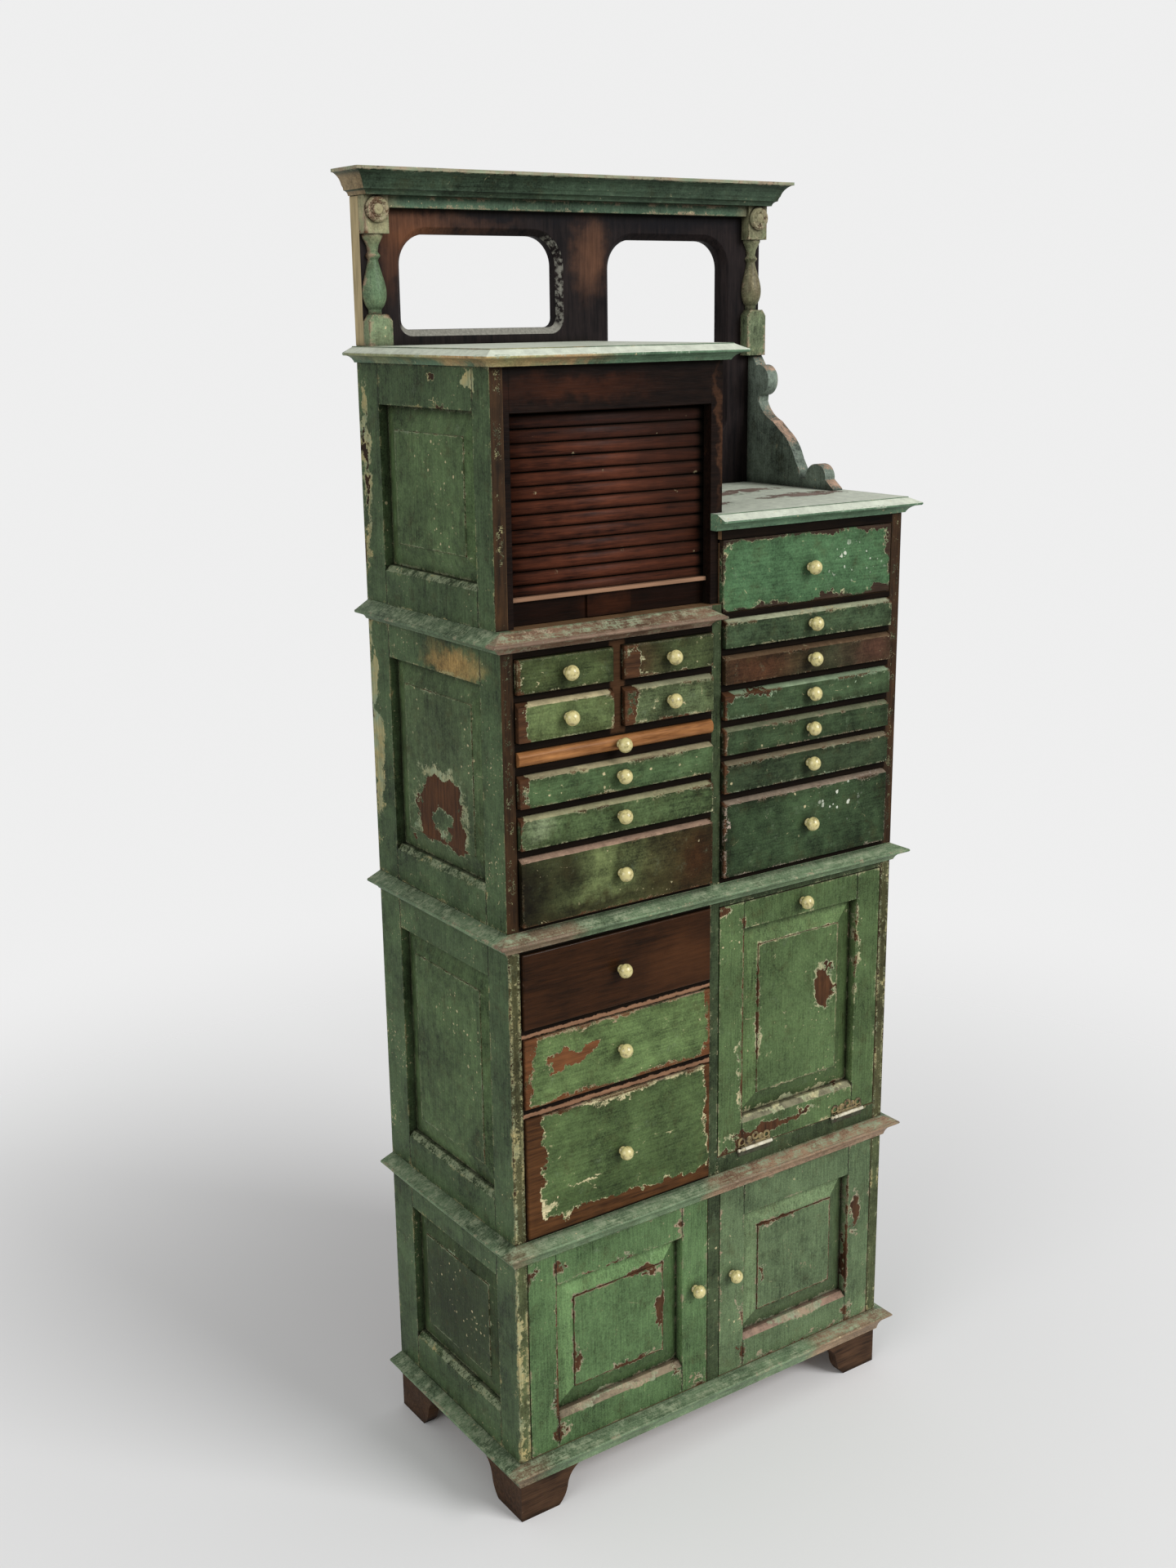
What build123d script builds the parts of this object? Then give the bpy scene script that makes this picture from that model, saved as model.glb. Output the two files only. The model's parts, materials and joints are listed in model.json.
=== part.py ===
from build123d import *

import os

# Tall dental cabinet: a stacked carcass with drawers, doors, a fall front, a tambour case and a gallery.
# Row frame: +X right, -Y front, +Z up, origin on the floor under the middle of the cabinet. Millimetres.

# ---------------------------------------------------------------- driving dimensions
WIDTH = 640.0  # carcass, over the side frames
DEPTH = 325.0  # carcass, front plane to back plane
SIDE_T = 17.0  # side frame thickness
BACK_T = 8.0  # back boards
PARTITION_LEFT = 315.0  # left face of the partition, from the cabinet's left side
PARTITION_T = 15.0
CASE_OVERHANG = 6.0  # tambour case's right side beyond the partition's right face
CASE_SETBACK = 8.0  # case front behind the carcass front

FOOT_H = 56.0
FOOT_W = 60.0  # bracket foot on the floor
FOOT_TOP_W = 104.0
BASE_H = 34.0
TIER_1_H = 292.0
WAIST_1_H = 30.0
TIER_2_H = 397.0
WAIST_2_H = 25.0
TIER_3_H = 346.0
WAIST_3_H = 25.0
CASE_H = 300.0
TOP_BOARD_H = 20.0
COLUMN_RISE = 118.0  # worktop above the third waist board
WORKTOP_H = 21.0
GALLERY_H = 165.0  # gallery above the top board, up to the frieze
FRIEZE_H = 14.0
CROWN_H = 31.0

NOSE_REACH = 20.0  # moulded edges beyond the carcass
NOSE_R = 2.2
BASE_NOSE = 25.0  # height of each nose above its board's underside
WAIST_1_NOSE = 20.0
WAIST_2_NOSE = 14.0
WAIST_3_NOSE = 11.0
TOP_NOSE = 11.0
WORKTOP_NOSE = 12.0
TOP_EDGE_INSET = 6.0  # where the level top of the upper boards begins, outside the wall
NOSE_LAND = 1.0  # upright edge above the sloping top of a nose
WAIST_3_RETURN = 9.0  # third waist board's mitred end, left of the partition

DRAWER_PROUD = 7.0  # shaped fronts in front of the carcass
BROAD_PROUD = 4.5  # the plain broad fronts of the middle tier
FLUSH_PROUD = 1.0  # the top right front
FRONT_BACK = 8.0  # backs of all fronts behind the carcass front
FRONT_BEVEL_H = 5.0
FRONT_BEVEL_D = 9.0
EDGE_R = 1.2
DRAWER_SIDE_T = 8.0
DRAWER_BOTTOM_T = 4.0
BOTTOM_RAISE = 3.0
DRAWER_BACK_GAP = 12.0  # drawer boxes end this far in front of the back boards
SIDE_DROP = 4.0  # drawer sides lower than their front
FRONT_GAP = 2.0  # beside a front
RAIL_GAP = 1.0  # above and below a front
RUN_GAP = 0.3  # drawer sides above their runners
RAIL_DEPTH = 32.0
RUNNER_W = 16.0
DIVIDER_T = 12.0  # upright between the small drawers
SLIDE_T = 10.0

# each column from the bottom up: name, rail below, height between its rails, shape of front;
# the lowest front has no height of its own and takes what the others leave
LEFT_UPPER_TOP_RAIL = 8.0
RIGHT_UPPER_TOP_RAIL = 12.0
LEFT_MIDDLE_TOP_RAIL = 4.0
LEFT_UPPER = [
    ("deep", 5.0, None, "bevelled"),
    ("thin_lower", 9.0, 43.0, "bevelled"),
    ("thin_upper", 9.0, 42.0, "bevelled"),
    ("slide", 9.0, 20.0, "rounded"),
    ("small_lower", 10.0, 50.0, "bevelled"),
    ("small_upper", 8.0, 44.0, "plain"),
]
RIGHT_UPPER = [
    ("right_7", 7.0, None, "bevelled"),
    ("right_6", 9.0, 44.0, "bevelled"),
    ("right_5", 7.0, 38.0, "bevelled"),
    ("right_4", 9.0, 38.0, "bevelled"),
    ("right_3", 8.0, 39.0, "bevelled"),
    ("right_2", 8.0, 39.0, "bevelled"),
    ("right_1", 7.0, 93.0, "flush"),
]
LEFT_MIDDLE = [
    ("middle_3", 3.0, None, "broad"),
    ("middle_2", 12.0, 96.0, "broad"),
    ("middle_1", 11.0, 102.0, "broad"),
]

KNOB_R = 9.6
KNOB_LENGTH = 19.5
KNOB_NECK_R = 3.8
KNOB_FOOT_R = 5.6
KNOB_FOOT_H = 1.6
KNOB_TIP_R = 1.2
DOOR_KNOB_RISE = 156.5  # above the doors' lower edge
DOOR_KNOB_INSET = 22.0
FALL_KNOB_DROP = 19.0

STILE_FRONT = 47.0  # side frames
STILE_BACK = 53.0
PANEL_EDGE_T = 4.5
PANEL_RAISE = 7.0
PANEL_BEVEL = 30.0
FIELD_STEP = 1.5  # upright edge round a panel's field
SILL_CHAMFER = 7.0
# side frames, bottom rail and top rail
TIER_1_RAILS = (58.0, 34.0)
TIER_2_RAILS = (52.0, 43.0)
TIER_3_RAILS = (49.0, 44.0)
CASE_RAILS = (49.5, 50.0)
COLUMN_RAILS = (49.0, 50.0)

DOOR_T = 18.0
DOOR_STILE = 43.5
DOOR_TOP_RAIL = 46.0
DOOR_BOTTOM_RAIL = 48.0
DOOR_GAP = 1.5
DOOR_SILL = 7.0
DOOR_BACK_GAP = 1.0
POST_W = 20.0  # centre post between the doors
TIER_1_PARTITION_T = 10.0
PIVOT_INSET = 3.0  # door pivots behind the face and inside the hanging edge
PIVOT_R = 1.2
PIVOT_FIT = 0.06
PIVOT_LENGTH = 9.0

FALL_STILE = 42.0
FALL_TOP_RAIL = 38.0
FALL_BOTTOM_RAIL = 45.0
FALL_SILL_H = 24.0  # fixed rail under the fall front
FALL_HEAD_H = 8.0
FALL_GAP = 1.5
HINGE_R = 2.6  # surface hinge barrel
HINGE_PIN_R = 1.2
HINGE_FIT = 0.06
HINGE_W = 62.0
HINGE_LEAF_T = 1.4
HINGE_FOOT_H = 8.0
HINGE_LOBE_R = 8.5
HINGE_SIDE_LOBE_R = 6.0
HINGE_LOBE_RISE = 9.0  # lobes' centres above the fall front's lower edge
HINGE_SIDE_LOBE_RISE = 6.5
HINGE_SIDE_LOBE_SPREAD = 18.0
HINGE_STRIP_H = 5.0
HINGE_STRIP_INSET = 2.0
HINGE_ROOT = 0.6  # leaves' overlap with their strips
HINGE_KNUCKLE = 12.0
KNUCKLE_GAP = 0.4
HINGE_INSETS = (64.5, 51.5)  # hinges' centres inside the fall front's left and right edges

CASE_FRAME_T = 14.0  # the case's front frame
CASE_STILE = 8.0
CASE_TOP_RAIL = 52.0
CASE_WALL_T = 18.0
SLAT_T = 7.6
SLAT_PITCH = 16.5
SLAT_COUNT = 14
SLAT_GAP = 0.4
SLAT_CHAMFER = 2.4
CANVAS_T = 0.8
GROOVE_DEPTH = 5.0
GROOVE_FIT = 0.3
GROOVE_BEND = 26.0
GROOVE_ROOF = 4.0  # wood left above the groove
GROOVE_END = 40.0  # groove's end in front of the back boards
LIFT_RAIL_H = 30.0
LIP_REACH = 8.0
LIP_H = 5.0
LOCK_BLOCK_LEFT = 113.0  # from the left of the opening
LOCK_BLOCK_W = 65.0
LOCK_BLOCK_T = 3.0
LOCK_BLOCK_RAISE = 1.5
LIP_GAP = 1.0
SLAT_GAP_FRONT = 1.0  # curtain behind the case's front frame

GALLERY_T = 22.0
MIRROR_RIM = 8.0  # bevelled rim round each opening
MIRROR_TOP_R = 38.0
MIRROR_BOTTOM_R = 12.0
MIRROR_LEFT_STILE = 58.0
MIRROR_MIDDLE_STILE = 86.0  # between the openings, centred on the case's right side
MIRROR_RIGHT_STILE = 64.0
LEFT_MIRROR_RISE = 19.0  # above the top board
LEFT_MIRROR_DROP = 30.0  # below the frieze
RIGHT_MIRROR_RISE = 81.0  # above the worktop
RIGHT_MIRROR_DROP = 33.0
PILASTER_W = 33.0
PILASTER_T = 16.0
PILASTER_FOOT_H = 38.0
PILASTER_FOOT_CHAMFER = (8.0, 6.0)
RIGHT_FOOT_H = 63.0  # right pilaster's foot, down to the bracket
ROSETTE_R = 15.8
ROSETTE_T = 6.5
ROSETTE_BLOCK_H = 45.0
CROWN_REACH = 24.0
FRIEZE_T = 12.0
BRACKET_T = 18.0
BRACKET_D = 186.0

# ---------------------------------------------------------------- positions that follow
X_LEFT = -WIDTH / 2
X_RIGHT = WIDTH / 2
KNOB_REACH = DRAWER_PROUD + KNOB_LENGTH
Y_FRONT = (KNOB_REACH - DEPTH) / 2
Y_BACK = Y_FRONT + DEPTH
Y_INNER = Y_BACK - BACK_T

Z_TIER_1 = FOOT_H + BASE_H
Z_WAIST_1 = Z_TIER_1 + TIER_1_H
Z_TIER_2 = Z_WAIST_1 + WAIST_1_H
Z_WAIST_2 = Z_TIER_2 + TIER_2_H
Z_TIER_3 = Z_WAIST_2 + WAIST_2_H
Z_WAIST_3 = Z_TIER_3 + TIER_3_H
Z_CASE = Z_WAIST_3 + WAIST_3_H
Z_TOP = Z_CASE + CASE_H
Z_TOP_SURFACE = Z_TOP + TOP_BOARD_H
Z_WORKTOP = Z_WAIST_3 + COLUMN_RISE
Z_WORKTOP_SURFACE = Z_WORKTOP + WORKTOP_H
Z_FRIEZE = Z_TOP_SURFACE + GALLERY_H
Z_CROWN = Z_FRIEZE + FRIEZE_H
Z_PILASTER_FOOT = Z_TOP_SURFACE + PILASTER_FOOT_H
Z_BRACKET_TOP = Z_PILASTER_FOOT - RIGHT_FOOT_H
BRACKET_H = Z_BRACKET_TOP - Z_WORKTOP_SURFACE

X_LEFT_BAY = X_LEFT + SIDE_T
X_PARTITION = X_LEFT + PARTITION_LEFT
X_RIGHT_BAY = X_PARTITION + PARTITION_T
X_RIGHT_WALL = X_RIGHT - SIDE_T
X_POST_RIGHT = X_PARTITION + POST_W
X_CASE_RIGHT = X_RIGHT_BAY + CASE_OVERHANG
X_CASE_WALL = X_CASE_RIGHT - CASE_WALL_T
X_CASE_OPENING = X_LEFT_BAY + CASE_STILE
Y_CASE = Y_FRONT + CASE_SETBACK
Z_CASE_OPENING = Z_TOP - CASE_TOP_RAIL
GROOVE_W = SLAT_T + 2 * GROOVE_FIT
Y_SLATS = Y_CASE + CASE_FRAME_T + SLAT_GAP_FRONT
Y_GROOVE = Y_SLATS + SLAT_T / 2
Z_CURTAIN = Z_CASE + LIFT_RAIL_H + GROOVE_FIT
Y_GALLERY = Y_BACK - GALLERY_T
Y_HINGE = Y_FRONT - HINGE_R
Z_HINGE = Z_TIER_2 + FALL_SILL_H + FALL_GAP / 2
Z_FALL_TOP = Z_WAIST_2 - FALL_HEAD_H - FALL_GAP


# ---------------------------------------------------------------- helpers
def block(x0, x1, y0, y1, z0, z1):
    """A board between two corners."""
    return Pos(x0, y0, z0) * Box(x1 - x0, y1 - y0, z1 - z0, align=Align.MIN)


def outline(points, *edges):
    """A face from a run of straight edges and the curved edges that close it."""
    lines = [Line(a, b) for a, b in zip(points, points[1:])]
    return make_face([*lines, *edges])


def nosing(height, nose, inset):
    """A moulded edge from its foot to its top: u outwards from the wall, v up."""
    foot = NOSE_REACH * 0.18
    low = (NOSE_REACH - NOSE_R, nose - NOSE_R)
    high = (NOSE_REACH - NOSE_R, nose + NOSE_R)
    edges = [
        Line((0, 0), (foot, 0)),
        ThreePointArc((foot, 0), (NOSE_REACH * 0.42, nose * 0.55), low),
        ThreePointArc(low, (NOSE_REACH, nose), high),
        Line(high, (inset, height - NOSE_LAND)),
        Line((inset, height - NOSE_LAND), (inset, height)),
    ]
    if inset > 0:
        edges.append(Line((inset, height), (0, height)))
    return edges


def crown_outline():
    """The cornice's edge: a cove, a long ogee, a fillet and a fascia."""

    def at(out, up):
        """A point at shares of the crown's reach and height."""
        return (CROWN_REACH * out, CROWN_H * up)

    foot, cove, ogee, fascia = at(0.083, 0), at(0.333, 0.2), at(0.4375, 0.403), at(0.917, 0.87)
    return [
        Line((0, 0), foot),
        ThreePointArc(foot, at(0.167, 0.14), cove),
        ThreePointArc(cove, at(0.358, 0.297), ogee),
        ThreePointArc(ogee, at(0.604, 0.677), fascia),
        Line(fascia, (CROWN_REACH, fascia[1])),
        Line((CROWN_REACH, fascia[1]), (CROWN_REACH, CROWN_H)),
        Line((CROWN_REACH, CROWN_H), (0, CROWN_H)),
    ]


def edge_face(edges, near, far, base, height, both):
    """A board's section with the moulded edge on its near side, and on its far side if both is set."""
    near_side = [Pos(near, base) * mirror(edge, Plane.YZ) for edge in edges]
    far_side = [Line((far, base), (far, base + height))]
    if both:
        far_side = [Pos(far, base) * edge for edge in edges]
    floor = Line((near, base), (far, base))
    ceiling = Line((near, base + height), (far, base + height))
    return make_face([*near_side, *far_side, floor, ceiling])


def moulded_board(x0, x1, y0, z0, height, edges):
    """A board whose moulded edge is mitred round its left, front and right sides, flush at the back."""
    reach = 2 * CROWN_REACH
    across = Plane(origin=(x0 - reach, 0, 0), x_dir=(0, 1, 0), z_dir=(1, 0, 0))
    along = Plane(origin=(0, Y_BACK, 0), x_dir=(1, 0, 0), z_dir=(0, -1, 0))
    front = extrude(across * edge_face(edges, y0, Y_BACK, z0, height, False), x1 - x0 + 2 * reach)
    sides = extrude(along * edge_face(edges, x0, x1, z0, height, True), Y_BACK - y0 + reach)
    return front & sides


def raised_panel(width, height):
    """A fielded panel, face up on XY, centred, with its back at zero."""
    field = Rectangle(width - 2 * PANEL_BEVEL, height - 2 * PANEL_BEVEL)
    edge = extrude(Rectangle(width, height), PANEL_EDGE_T)
    foot = Pos(0, 0, PANEL_EDGE_T) * Rectangle(width, height)
    slope = loft([foot, Pos(0, 0, PANEL_EDGE_T + PANEL_RAISE) * field])
    return edge + slope + extrude(field, PANEL_EDGE_T + PANEL_RAISE + FIELD_STEP)


def side_panel(side, y0, y1, z0, z1):
    """A panel in a side frame: side is -1 on the left and +1 on the right."""
    centre = (side * (WIDTH / 2 - SIDE_T), (y0 + y1) / 2, (z0 + z1) / 2)
    return Plane(origin=centre, x_dir=(0, -side, 0), z_dir=(side, 0, 0)) * raised_panel(y1 - y0, z1 - z0)


def front_panel(x0, x1, y_back, z0, z1):
    """A panel that faces the front, with its back at y_back."""
    centre = ((x0 + x1) / 2, y_back, (z0 + z1) / 2)
    return Plane(origin=centre, x_dir=(1, 0, 0), z_dir=(0, -1, 0)) * raised_panel(x1 - x0, z1 - z0)


def export(name, *shapes):
    """Writes one node's solids as a STEP file."""
    solids = [solid for shape in shapes for solid in shape.solids()]
    export_step(Compound(label=name, children=solids), f"parts/{name}.step")


# ---------------------------------------------------------------- feet
def foot_board():
    """A bracket foot's front board from its corner at the origin, mitred at 45 degrees."""
    spread = FOOT_TOP_W - FOOT_W
    toe, top = (FOOT_W, 0), (FOOT_TOP_W, FOOT_H)
    knee = (FOOT_W + spread * 0.34, FOOT_H * 0.5)
    edges = [
        ThreePointArc(toe, (FOOT_W + spread * 0.225, FOOT_H * 0.215), knee),
        ThreePointArc(knee, (FOOT_W + spread * 0.545, FOOT_H * 0.82), top),
    ]
    face = outline([top, (0, FOOT_H), (0, 0), toe], *edges)
    corners = [(0, 0), (FOOT_TOP_W, 0), (FOOT_TOP_W, SIDE_T), (SIDE_T, SIDE_T), (0, 0)]
    mitre = outline(corners)
    return extrude(Plane.XZ * face, -SIDE_T) & extrude(mitre, FOOT_H)


def bracket_feet():
    """Two mitred boards at each corner."""
    front = foot_board()
    side = mirror(front, Plane(origin=(0, 0, 0), z_dir=(1, -1, 0)))
    front_pair = [Pos(X_LEFT, Y_FRONT, 0) * board for board in (front, side)]
    middle = Plane.XZ.offset(-(Y_FRONT + Y_BACK) / 2)
    left = front_pair + [mirror(board, middle) for board in front_pair]
    return left + [mirror(board, Plane.YZ) for board in left]


# ---------------------------------------------------------------- carcass
def waist_board(x0, x1, z0, height, nose, inset=0.0):
    """A full-depth board with the nosed edge."""
    return moulded_board(x0, x1, Y_FRONT, z0, height, nosing(height, nose, inset))


def moulded_boards():
    """The base board and the three waist boards."""
    base = waist_board(X_LEFT, X_RIGHT, FOOT_H, BASE_H, BASE_NOSE)
    waist_1 = waist_board(X_LEFT, X_RIGHT, Z_WAIST_1, WAIST_1_H, WAIST_1_NOSE)
    waist_2 = waist_board(X_LEFT, X_RIGHT, Z_WAIST_2, WAIST_2_H, WAIST_2_NOSE)
    x_return = X_PARTITION - WAIST_3_RETURN
    waist_3 = waist_board(X_LEFT, x_return, Z_WAIST_3, WAIST_3_H, WAIST_3_NOSE)
    filling = block(x_return, X_PARTITION, Y_FRONT, Y_BACK, Z_WAIST_3, Z_CASE)
    beyond = block(X_PARTITION, X_RIGHT, Y_FRONT, Y_BACK, Z_WAIST_3, Z_CASE)
    return [base, waist_1, waist_2, waist_3 + filling - beyond]


def worktops():
    """The case's top board and the right column's worktop."""
    top = waist_board(X_LEFT, X_CASE_RIGHT, Z_TOP, TOP_BOARD_H, TOP_NOSE, TOP_EDGE_INSET)
    worktop = waist_board(X_CASE_WALL, X_RIGHT, Z_WORKTOP, WORKTOP_H, WORKTOP_NOSE, TOP_EDGE_INSET)
    left_end = block(X_LEFT, X_CASE_WALL, Y_FRONT - NOSE_REACH, Y_BACK, Z_WORKTOP, Z_WORKTOP_SURFACE)
    case_side = block(X_LEFT, X_RIGHT_BAY, Y_CASE, Y_BACK, Z_WORKTOP, Z_WORKTOP_SURFACE)
    return [top, worktop - left_end - case_side]


def side_frame(side, y0, z0, z1, rails):
    """Two stiles and two rails of one tier's side, and the fielded panel between them."""
    inner, outer = sorted((side * (WIDTH / 2 - SIDE_T), side * WIDTH / 2))
    front, back = Y_FRONT + STILE_FRONT, Y_BACK - STILE_BACK
    bottom = block(inner, outer, front, back, z0, z0 + rails[0])
    sill = bottom.edges().filter_by(Axis.Y).sort_by(Axis.Z)[-2:].sort_by(Axis.X)
    frame = [
        block(inner, outer, y0, front, z0, z1),
        block(inner, outer, back, Y_BACK, z0, z1),
        chamfer(sill[0] if side < 0 else sill[-1], SILL_CHAMFER),
        block(inner, outer, front, back, z1 - rails[1], z1),
    ]
    return frame, side_panel(side, front, back, z0 + rails[0], z1 - rails[1])


def side_frames():
    """Frames and panels of all the tiers, left and right."""
    tiers = [
        (-1, Y_FRONT, Z_TIER_1, Z_WAIST_1, TIER_1_RAILS),
        (-1, Y_FRONT, Z_TIER_2, Z_WAIST_2, TIER_2_RAILS),
        (-1, Y_FRONT, Z_TIER_3, Z_WAIST_3, TIER_3_RAILS),
        (-1, Y_CASE, Z_CASE, Z_TOP, CASE_RAILS),
        (1, Y_FRONT, Z_TIER_1, Z_WAIST_1, TIER_1_RAILS),
        (1, Y_FRONT, Z_TIER_2, Z_WAIST_2, TIER_2_RAILS),
        (1, Y_FRONT, Z_TIER_3, Z_WORKTOP, COLUMN_RAILS),
    ]
    built = [side_frame(*tier) for tier in tiers]
    return [board for frame, _ in built for board in frame], [panel for _, panel in built]


def partitions():
    """The upright boards between the bays, the doors' post and the fall front's fixed rails."""
    x_thin = X_POST_RIGHT - TIER_1_PARTITION_T
    y_post = Y_FRONT + DOOR_T + DOOR_BACK_GAP
    y_rail = Y_FRONT + DOOR_T
    z_sill = Z_TIER_2 + FALL_SILL_H
    return [
        block(X_PARTITION, X_POST_RIGHT, Y_FRONT, y_post, Z_TIER_1, Z_WAIST_1),
        block(x_thin, X_POST_RIGHT, y_post, Y_INNER, Z_TIER_1, Z_WAIST_1),
        block(X_PARTITION, X_RIGHT_BAY, Y_FRONT, Y_INNER, Z_TIER_2, Z_WAIST_2),
        block(X_PARTITION, X_RIGHT_BAY, Y_FRONT, Y_INNER, Z_TIER_3, Z_CASE),
        block(X_RIGHT_BAY, X_RIGHT_WALL, Y_FRONT, y_rail, Z_TIER_2, z_sill),
        block(X_RIGHT_BAY, X_RIGHT_WALL, Y_FRONT, y_rail, Z_WAIST_2 - FALL_HEAD_H, Z_WAIST_2),
    ]


def back_boards():
    """Level boards behind each bay."""
    return [
        block(X_LEFT_BAY, X_RIGHT_WALL, Y_INNER, Y_BACK, Z_TIER_1, Z_WAIST_1),
        block(X_LEFT_BAY, X_RIGHT_WALL, Y_INNER, Y_BACK, Z_TIER_2, Z_WAIST_2),
        block(X_LEFT_BAY, X_RIGHT_WALL, Y_INNER, Y_BACK, Z_TIER_3, Z_WAIST_3),
        block(X_PARTITION, X_RIGHT_WALL, Y_INNER, Y_BACK, Z_WAIST_3, Z_CASE),
        block(X_RIGHT_BAY, X_RIGHT_WALL, Y_INNER, Y_BACK, Z_CASE, Z_WORKTOP),
        block(X_LEFT_BAY, X_RIGHT_BAY, Y_INNER, Y_BACK, Z_CASE, Z_WORKTOP_SURFACE),
        block(X_LEFT_BAY, X_CASE_RIGHT, Y_INNER, Y_BACK, Z_WORKTOP_SURFACE, Z_TOP),
    ]


# ---------------------------------------------------------------- drawers
def knob():
    """A turned knob, foot at the origin, pointing along +Z."""
    foot, tip = (KNOB_FOOT_R, KNOB_FOOT_H), (KNOB_TIP_R, KNOB_LENGTH)
    shoulder, belly = (KNOB_R * 0.83, KNOB_LENGTH * 0.38), (KNOB_R, KNOB_LENGTH * 0.55)
    edges = [
        ThreePointArc(foot, (KNOB_NECK_R, KNOB_FOOT_H + 3.2), shoulder),
        ThreePointArc(shoulder, (KNOB_R * 0.955, KNOB_LENGTH * 0.455), belly),
        ThreePointArc(belly, (KNOB_R * 0.72, KNOB_LENGTH * 0.86), tip),
    ]
    face = outline([tip, (0, KNOB_LENGTH), (0, 0), (KNOB_FOOT_R, 0), foot], *edges)
    return revolve(Plane.XZ * face, Axis.Z)


def front_knob(x, y, z):
    """A knob on a front face."""
    return Pos(x, y, z) * Rot(90, 0, 0) * knob()


def drawer_front(x0, x1, z0, z1, shape):
    """A drawer front with its own edge shape, and how far it stands out."""
    proud = {"flush": FLUSH_PROUD, "broad": BROAD_PROUD}.get(shape, DRAWER_PROUD)
    board = block(x0, x1, Y_FRONT - proud, Y_FRONT + FRONT_BACK, z0, z1)
    face_edges = board.faces().sort_by(Axis.Y)[0].edges()
    top = face_edges.sort_by(Axis.Z)[-1]
    if shape == "bevelled":
        face = board.faces().sort_by(Axis.Y)[0]
        board = chamfer(top, FRONT_BEVEL_H, FRONT_BEVEL_D, reference=face)
    elif shape == "rounded":
        board = fillet(face_edges.filter_by(Axis.X), (z1 - z0) * 0.42)
    else:
        board = fillet(face_edges, EDGE_R if shape == "flush" else 2 * EDGE_R)
    return board, proud


def drawer(x0, x1, z0, z1, shape):
    """A drawer's front, sides, back and bottom between two rails."""
    front, proud = drawer_front(x0, x1, z0 + RAIL_GAP, z1 - RAIL_GAP, shape)
    y0 = Y_FRONT + FRONT_BACK
    y1 = Y_INNER - DRAWER_BACK_GAP
    low, high = z0 + RUN_GAP, z1 - RAIL_GAP - SIDE_DROP
    bottom = low + BOTTOM_RAISE
    solids = [
        front,
        block(x0, x0 + DRAWER_SIDE_T, y0, y1, low, high),
        block(x1 - DRAWER_SIDE_T, x1, y0, y1, low, high),
        block(x0 + DRAWER_SIDE_T, x1 - DRAWER_SIDE_T, y1 - DRAWER_SIDE_T, y1, low, high),
        block(
            x0 + DRAWER_SIDE_T, x1 - DRAWER_SIDE_T, y0, y1 - DRAWER_SIDE_T, bottom, bottom + DRAWER_BOTTOM_T
        ),
    ]
    return solids, front_knob((x0 + x1) / 2, Y_FRONT - proud, (z0 + z1) / 2)


def slide(x0, x1, z0, z1):
    """The pull-out board with its rounded front."""
    front, proud = drawer_front(x0, x1, z0 + RAIL_GAP, z1 - RAIL_GAP, "rounded")
    bottom = z0 + RUN_GAP
    board = block(x0, x1, Y_FRONT + FRONT_BACK, Y_INNER - DRAWER_BACK_GAP, bottom, bottom + SLIDE_T)
    return [front, board], front_knob((x0 + x1) / 2, Y_FRONT - proud, (z0 + z1) / 2)


def cross_rail(x0, x1, z0, z1, centre=None):
    """A rail across a bay with a runner at each side, and one in the middle under a pair of drawers."""
    y0 = Y_FRONT + RAIL_DEPTH
    parts = [
        block(x0, x1, Y_FRONT, y0, z0, z1),
        block(x0, x0 + RUNNER_W, y0, Y_INNER, z0, z1),
        block(x1 - RUNNER_W, x1, y0, Y_INNER, z0, z1),
    ]
    if centre is not None:
        half = DIVIDER_T / 2 + RUNNER_W
        parts.append(block(centre - half, centre + half, y0, Y_INNER, z0, z1))
    return parts


def fill_column(column, x0, x1, z0, z1, top_rail, runners):
    """Writes a column's drawers and knobs and adds its rails to the runners."""
    middle = (x0 + x1) / 2
    spare = z1 - z0 - top_rail - sum(rail + (height or 0) for _, rail, height, _ in column)
    z = z0
    for name, rail, own_height, shape in column:
        height = own_height or spare
        paired = name.startswith("small")
        runners += cross_rail(x0, x1, z, z + rail, middle if paired else None)
        z += rail
        if name == "slide":
            solids, pull = slide(x0 + FRONT_GAP, x1 - FRONT_GAP, z, z + height)
            export("writing_slide", *solids)
            export("knob_writing_slide", pull)
        elif paired:
            half = DIVIDER_T / 2
            runners.append(block(middle - half, middle + half, Y_FRONT, Y_INNER, z, z + height))
            spans = {
                "left": (x0 + FRONT_GAP, middle - half - FRONT_GAP),
                "right": (middle + half + FRONT_GAP, x1 - FRONT_GAP),
            }
            for hand, span in spans.items():
                solids, pull = drawer(*span, z, z + height, shape)
                export(f"drawer_{name}_{hand}", *solids)
                export(f"knob_{name}_{hand}", pull)
        else:
            solids, pull = drawer(x0 + FRONT_GAP, x1 - FRONT_GAP, z, z + height, shape)
            export(f"drawer_{name}", *solids)
            export(f"knob_{name}", pull)
        z += height
    runners.append(block(x0, x1, Y_FRONT, Y_FRONT + RAIL_DEPTH, z, z1))


# ---------------------------------------------------------------- doors and fall front
def door(x0, x1, z0, z1, rails, stile, sill_size):
    """Two stiles, two rails and a fielded panel."""
    y1 = Y_FRONT + DOOR_T
    bottom = block(x0 + stile, x1 - stile, Y_FRONT, y1, z0, z0 + rails[0])
    edge = bottom.edges().filter_by(Axis.X).sort_by(Axis.Z)[-2:].sort_by(Axis.Y)[0]
    return [
        block(x0, x0 + stile, Y_FRONT, y1, z0, z1),
        block(x1 - stile, x1, Y_FRONT, y1, z0, z1),
        chamfer(edge, sill_size),
        block(x0 + stile, x1 - stile, Y_FRONT, y1, z1 - rails[1], z1),
        front_panel(x0 + stile, x1 - stile, y1, z0 + rails[0], z1 - rails[1]),
    ]


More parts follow.
